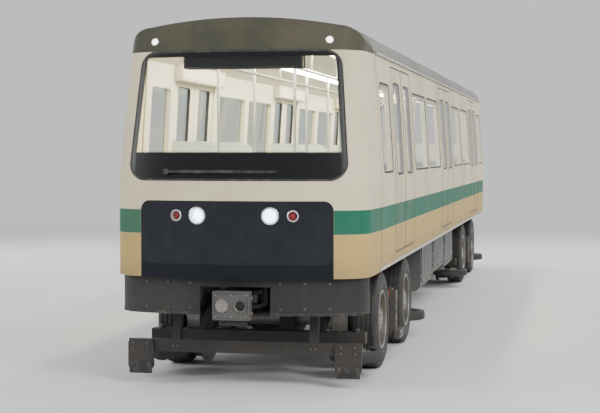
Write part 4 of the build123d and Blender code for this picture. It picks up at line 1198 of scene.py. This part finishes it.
def build_bogies():
    groups = [
        (bogie_bolts, "bogie_bolts", BOLT, "steel"),
        (brake_parts, "brake_cylinders", FRAME_PAINT, "grey_underframe"),
        (drive_parts, "drive_fittings", CASE_PAINT, "equipment_paint"),
        (collector_parts, "collector_bolts", BOLT, "steel"),
    ]
    for name, bogie in BOGIES.items():
        for parts, group, finish, slot in groups:
            dress(parts(bogie), f"{group}_{name}", finish, slot, body=f"bogie_{name}")


# Underframe: air pipes clipped below the cross-members
def build_pipes():
    pipes = []
    for y, radius in ((0.262, 0.018), (0.205, 0.012)):
        z = SILL_Z - radius - 0.003
        pipes.append(drum((REAR_X + 0.06, y, z), (FRAME_FRONT - 0.08, y, z), radius, 20))
    clip = brick((0.0, 0.235, SILL_Z - 0.0215), (0.014, 0.058, 0.0225), 0.004)
    bolt = hex_bolt((0.0, 0.234, SILL_Z - 0.0435), DOWN, 0.018)
    rear, front, spaces = REAR_X + 0.045, FRAME_FRONT - 0.045, 16
    places = [at(rear + (front - rear) * k / spaces, 0.0, 0.0) for k in range(spaces + 1)]
    dress(both(*pipes, copied([clip, bolt], places)), "underframe_pipes", STEEL, "steel")


# Equipment cases: louvres, hinges and latches on the lids, bolts on the ends, and the tanks' straps and ends
def case_zones():
    """Side, rear end, front end and lower edge of each case."""
    zones = []
    rear, front = BOGIES["rear"] + 2.54, BOGIES["front"] - 2.54
    for side, row in CASE_ROWS.items():
        low_x = rear
        for share, depth in row:
            high_x = low_x + share * (front - rear)
            zones.append((side, low_x, high_x, SILL_Z - depth))
            low_x = high_x + CASE_SPACE
    return zones


def build_cases():
    places = []
    fittings = []
    lid, pitch = CASE_FACE + 0.012, 0.36
    for side, low_x, high_x, low_z in case_zones():
        out = (0, side, 0)
        foot, head = low_z + 0.155, SILL_Z - 0.095
        middle = (low_x + high_x) / 2
        count = int((high_x - low_x - 0.34) / pitch)
        places += [Matrix.Scale(side, 4, (0.0, 1.0, 0.0))
                   @ at(middle + (k - (count - 1) / 2) * pitch, lid, foot + 0.030 + n * 0.034)
                   for k in range(count) for n in range(7)]
        for x in (low_x + 0.20, middle, high_x - 0.20):
            hinge = [(x + dx, side * lid, head + 0.012) for dx in (-0.045, 0.045)]
            fittings.append(drum(*hinge, 0.010, 16))
            fittings.append(brick((x, side * lid, foot - 0.036), (0.022, 0.006, 0.024), 0.004))
            fittings.append(lathe([(0.0, 0.010), (0.012, 0.010), (0.014, 0.0)],
                                  (x, side * (lid + 0.004), foot - 0.036), out, 16))
        fittings += [hex_bolt((x, side * (CASE_FACE - 0.0005), z), out, 0.024)
                     for x in (low_x + 0.035, high_x - 0.035)
                     for z in (foot + 0.03, (foot + head) / 2, head + 0.02)]
    louvre = block((-0.13, -0.006, 0.0), (0.13, 0.006, 0.018))
    pick_points(louvre, lambda place: place.y > 0.0 and place.z > 0.009)
    bpy.ops.transform.translate(value=(0.0, -0.0055, 0.0))
    rounded(louvre, 0.0015, 1)
    dress(copied(louvre, places), "case_louvres", CASE_PAINT, "equipment_paint")
    dress(fittings, "case_fittings", STEEL, "steel")
    low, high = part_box("air_tanks")
    tank_z = SILL_Z - 0.280
    strap = [(0.1650, -0.025), (0.1690, -0.023), (0.1690, 0.023), (0.1650, 0.025), (0.1640, 0.0)]
    dome = [(0.0, 0.030), (0.060, 0.027), (0.110, 0.019), (0.145, 0.006), (0.1655, -0.010), (0.1655, -0.030)]
    parts = []
    for x, along in ((low.x, -1), (high.x, 1)):
        plug_x = x - along * 0.16
        parts.append(ring(strap, (x - along * 0.20, 0.0, tank_z), AHEAD))
        parts.append(lathe(dome, (x, 0.0, tank_z), (along, 0, 0)))
        parts.append(drum((plug_x, 0.0, tank_z - 0.160), (plug_x, 0.0, tank_z - 0.182), 0.014, 6))
    tanks = copied(parts, [at(0.0, y, 0.0) for y in (-0.52, -0.88)])
    dress(tanks, "tank_fittings", CASE_PAINT, "equipment_paint")


# Front coupler with its face sunk inside a rim, and the electric coupler hung below it
def build_coupler():
    low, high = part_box("front_coupler")
    face, z = high.x, 0.800
    head = copy_of_node("front_coupler")
    sunk(head, lambda place, normal: normal.x > 0.9 and place.x > face - 0.001, 0.012, -0.010, 0.0, 0.0)
    dress(head, "coupler_head", COUPLER_PAINT, "steel", "front_coupler", body="coupler")
    cone = [(0.0, 0.001), (0.026, 0.002), (0.040, 0.006), (0.050, 0.0095), (0.060, 0.0095), (0.063, -0.001)]
    cup = [(0.0505, -0.072), (0.0440, -0.068), (0.0470, -0.012), (0.0505, -0.010)]
    parts = [lathe(cone, (face - 0.010, -0.085, z), AHEAD, 40), ring(cup, (face, 0.085, z), AHEAD, 40)]
    parts += [hex_bolt((face - 0.0105, y, z + dz), AHEAD, 0.016)
              for y in (-0.145, 0.0, 0.145) for dz in (-0.100, 0.100)]
    parts += [hex_bolt((face - 0.075, side * 0.1695, z + dz), (0, side, 0), 0.026)
              for side in (1, -1) for dz in (-0.07, 0.07)]
    dress(parts, "coupler_fittings", STEEL, "steel", body="coupler")
    cover = slab((face - 0.115, -0.115, low.z - 0.052), (face - 0.018, 0.115, low.z + 0.003), 0.010, 3)
    sunk(cover, facing(AHEAD), 0.014, -0.005, 0.0, 0.0)
    dress(cover, "electric_coupler", FRAME_PAINT, "grey_underframe", body="coupler")


# Front end: skirt lip and bolts, guard flaps, wiper fittings
def build_front():
    lip = copy_of_node("front_skirt")
    cut(lip, (0.0, 0.0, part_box("front_skirt")[0].z + 0.030), UP, clear_outer=True)
    finish_modifier(lip, "SOLIDIFY", thickness=0.004, offset=1.0)
    dress(lip, "skirt_lip", RUBBER, "black_rubber")
    low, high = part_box("obstacle_guard")
    guard_y = 0.995
    bolts = [hex_bolt((nose_x(y, 1.0) - 0.0605, y, z), (1.0, y / BOW, 0.0), 0.020)
             for y in (0.42, 0.64, 0.86) for z in (0.760, 0.990)]
    for way in (-1, 1):
        bolts.append(hex_bolt((high.x + 0.0085, guard_y + way * 0.080, low.z + 0.055), AHEAD, 0.022))
        bolts.append(hex_bolt((high.x - 0.0305, 0.66 + way * 0.022, 0.36), AHEAD, 0.022))
        bolts += [hex_bolt((high.x - 0.0005, guard_y + way * 0.068, low.z + rise), AHEAD, 0.026)
                  for rise in (0.195, 0.255)]
    dress(both(*bolts), "front_bolts", BOLT, "steel")
    flap = brick((high.x + 0.003, guard_y, low.z + 0.025), (0.006, 0.112, 0.060), 0.005)
    dress(both(flap), "guard_flaps", RUBBER, "black_rubber")
    fittings = [lathe([(0.0, 0.0415), (0.012, 0.0415), (0.019, 0.0370), (0.019, 0.030)],
                      (nose_x(-0.64, WIPER_Z), -0.64, WIPER_Z), (1, -0.2, 0.17), 24)]
    for z in (WIPER_Z - 0.0135, WIPER_Z + 0.0135):
        points = [(nose_x(y, z) + 0.017, y, z) for y in (-0.50, -0.28, -0.06, 0.16, 0.38)]
        fittings.append(tube(points, 0.003, 0.0, 2))
    fittings += [brick((nose_x(y, WIPER_Z) + 0.0175, y, WIPER_Z), (0.0075, 0.012, 0.016), 0.003)
                 for y in (-0.40, -0.17, 0.06, 0.28)]
    dress(fittings, "wiper_fittings", RUBBER, "black_rubber")


# Front console's lid, doors and handrail, and the display's bezels
def build_console():
    x, top, rail_z = 7.12, WAIST_Z - 0.025, 1.84
    lid = slab((x + 0.015, -0.62, top - 0.002), (x + 0.210, 0.62, top + 0.012), 0.006, 3)
    sunk(lid, facing(UP), 0.020, 0.0, 0.0, -0.004)
    knobs = [lathe([(0.0, 0.010), (0.010, 0.010), (0.012, 0.0)], (x + 0.040, y, top + 0.007), UP, 20)
             for y in (-0.45, 0.0, 0.45)]
    door = slab((x - 0.0035, -0.285, FLOOR_Z + 0.10), (x + 0.0015, 0.285, top - 0.20), 0.002)
    sunk(door, facing(BACK), 0.015, 0.0015, 0.0, 0.0)
    latch = brick((x - 0.004, 0.240, 1.560), (0.0025, 0.015, 0.040), 0.002)
    doors = copied([door, latch], [at(0.0, y, 0.0) for y in (-0.62, 0.0, 0.62)])
    dress([lid, *knobs, doors], "console_panels", SHELL, "lining")
    bar_x, fixed_x = x - 0.068, x + 0.002
    corners = [(fixed_x, -0.86), (bar_x, -0.86), (bar_x, 0.86), (fixed_x, 0.86)]
    rail = tube([(x, y, rail_z) for x, y in corners], 0.016, 0.045)
    stems = [drum((bar_x, y, rail_z), (fixed_x, y, rail_z), 0.010, 16) for y in (-0.43, 0.0, 0.43)]
    feet = [drum((x - 0.004, y, rail_z), (x + 0.0015, y, rail_z), 0.028, 20)
            for y in (-0.86, -0.43, 0.0, 0.43, 0.86)]
    dress([rail, *stems, *feet], "console_rail", POLE, "pole_steel")
    low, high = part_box("destination_display")
    bezel = block((low.x - 0.006, low.y - 0.006, low.z - 0.006),
                  (low.x + 0.012, high.y + 0.006, low.z + 0.126))
    sunk(bezel, facing(BACK), 0.018, 0.010, 0.0, 0.0)
    rounded(bezel, 0.003)
    turned = at(low.x + high.x, 0.0, 0.0) @ Matrix.Rotation(math.pi, 4, "Z")
    dress(copied(bezel, [SAME, turned]), "display_bezels", RUBBER, "black_rubber")


# Wall trims between the doors, and the tubes and clamps that hold the draught screens
def build_trims():
    edges = [REAR_X + 0.02]
    for middle in DOOR_CENTRES:
        edges += [middle - 0.90, middle + 0.90]
    edges.append(MASK_X - 0.02)
    levels = ((0.016, FLOOR_Z - 0.001, FLOOR_Z + 0.10), (0.014, WAIST_Z - 0.040, WAIST_Z - 0.014))
    trims = [slab((low_x, WALL_IN - depth, low_z), (high_x, WALL_IN + 0.001, high_z), 0.006)
             for low_x, high_x in zip(edges[::2], edges[1::2]) for depth, low_z, high_z in levels]
    dress(both(*trims), "wall_trims", ALLOY, "steel")
    holder = [brick((0.0, POLE_Y + 0.016, FLOOR_Z + rise), (0.019, 0.034, 0.020), 0.004)
              for rise in (0.20, 0.62)]
    holder.append(tube([(0.0, 0.672, FLOOR_Z + 0.90), (0.0, 0.672, FLOOR_Z + 0.02)], 0.0135))
    places = [place @ at(end * POLE_X, 0.0, 0.0) for place in DOOR_PLACES for end in (-1, 1)]
    dress(copied(holder, places), "screen_clamps", POLE, "pole_steel")


# Gangway: the frame's sunk face with bolts, handholds inside the rear wall, and treads on the bridge plate
def build_gangway():
    low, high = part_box("gangway_frame")
    frame_ring = copy_of_node("gangway_frame")
    sunk(frame_ring, lambda place, normal: normal.x < -0.9 and place.x < low.x + 0.001,
         0.009, 0.009, 0.0, 0.0)
    dress(frame_ring, "gangway_ring", FRAME_PAINT, "grey_underframe", "gangway_frame")
    places = [(side * 0.785, 1.30 + 0.17 * k) for side in (1, -1) for k in range(11)]
    places += [(0.18 * k, z) for z in (low.z + 0.035, high.z - 0.035) for k in range(-3, 4)]
    bolts = [hex_bolt((low.x + 0.0095, y, z), BACK, 0.0135) for y, z in places]
    dress(bolts, "gangway_bolts", BOLT, "steel")
    x, y, foot, head = REAR_X + 0.001, 0.87, 1.95, 2.55
    grip = tube([(x, y, foot), (x + 0.055, y, foot), (x + 0.055, y, head), (x, y, head)], 0.014, 0.03)
    feet = [drum((x - 0.001, y, z), (x + 0.006, y, z), 0.028, 20) for z in (foot, head)]
    dress(both(grip, *feet), "gangway_grips", POLE, "pole_steel")
    low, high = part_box("bridge_plate")
    tread = slab((low.x + 0.025, low.y + 0.03, high.z - 0.002),
                 (low.x + 0.035, high.y - 0.03, high.z + 0.0025), 0.001)
    dress(copied(tread, [at(0.034 * k, 0.0, 0.0) for k in range(11)]), "bridge_treads", STEEL, "steel")


# Roof: seams across the shell, and hoods whose top is sunk inside a rim with slats in the slots
def build_roof():
    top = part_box("roof_vents")[1].z
    hoods = copy_of_node("roof_vents")
    sunk(hoods, lambda place, normal: normal.z > 0.95 and place.z > top - 0.001, 0.007, 0.0, 0.0, -0.008)
    dress(hoods, "vent_hoods", ROOF_PAINT, "roof_grey", "roof_vents")
    bolts = [hex_bolt((x + dx, 0.33, top - 0.0084), UP, 0.012)
             for x in HOODS for dx in (-0.755, -0.40, -0.08, 0.08, 0.40, 0.755)]
    dress(both(*bolts), "vent_bolts", BOLT, "steel")
    slats = [brick((0.0, 0.08 * k, 0.0035), (0.044, 0.003, 0.0035), 0.001, 1) for k in range(-4, 5)]
    places = [at(x + 0.16 * n, 0.0, top - 0.0155) for x in HOODS for n in range(-4, 5)]
    dress(copied(slats, places), "vent_slats", ROOF_PAINT, "roof_grey")
    seams = [slice_of("roof_shell", x, 0.028, 0.0025) for x in SEAMS]
    dress(seams, "roof_seams", ROOF_PAINT, "roof_grey")


build_seals()
build_edges()
build_doors()
build_lamps()
build_seats()
build_saloon()
build_bellows()
build_tyres()
build_guide_wheels()
build_springs()
build_bogies()
build_pipes()
build_cases()
build_coupler()
build_front()
build_console()
build_trims()
build_gangway()
build_roof()
bpy.data.objects.remove(BOLT_MODEL)
place_camera()
build_stage()
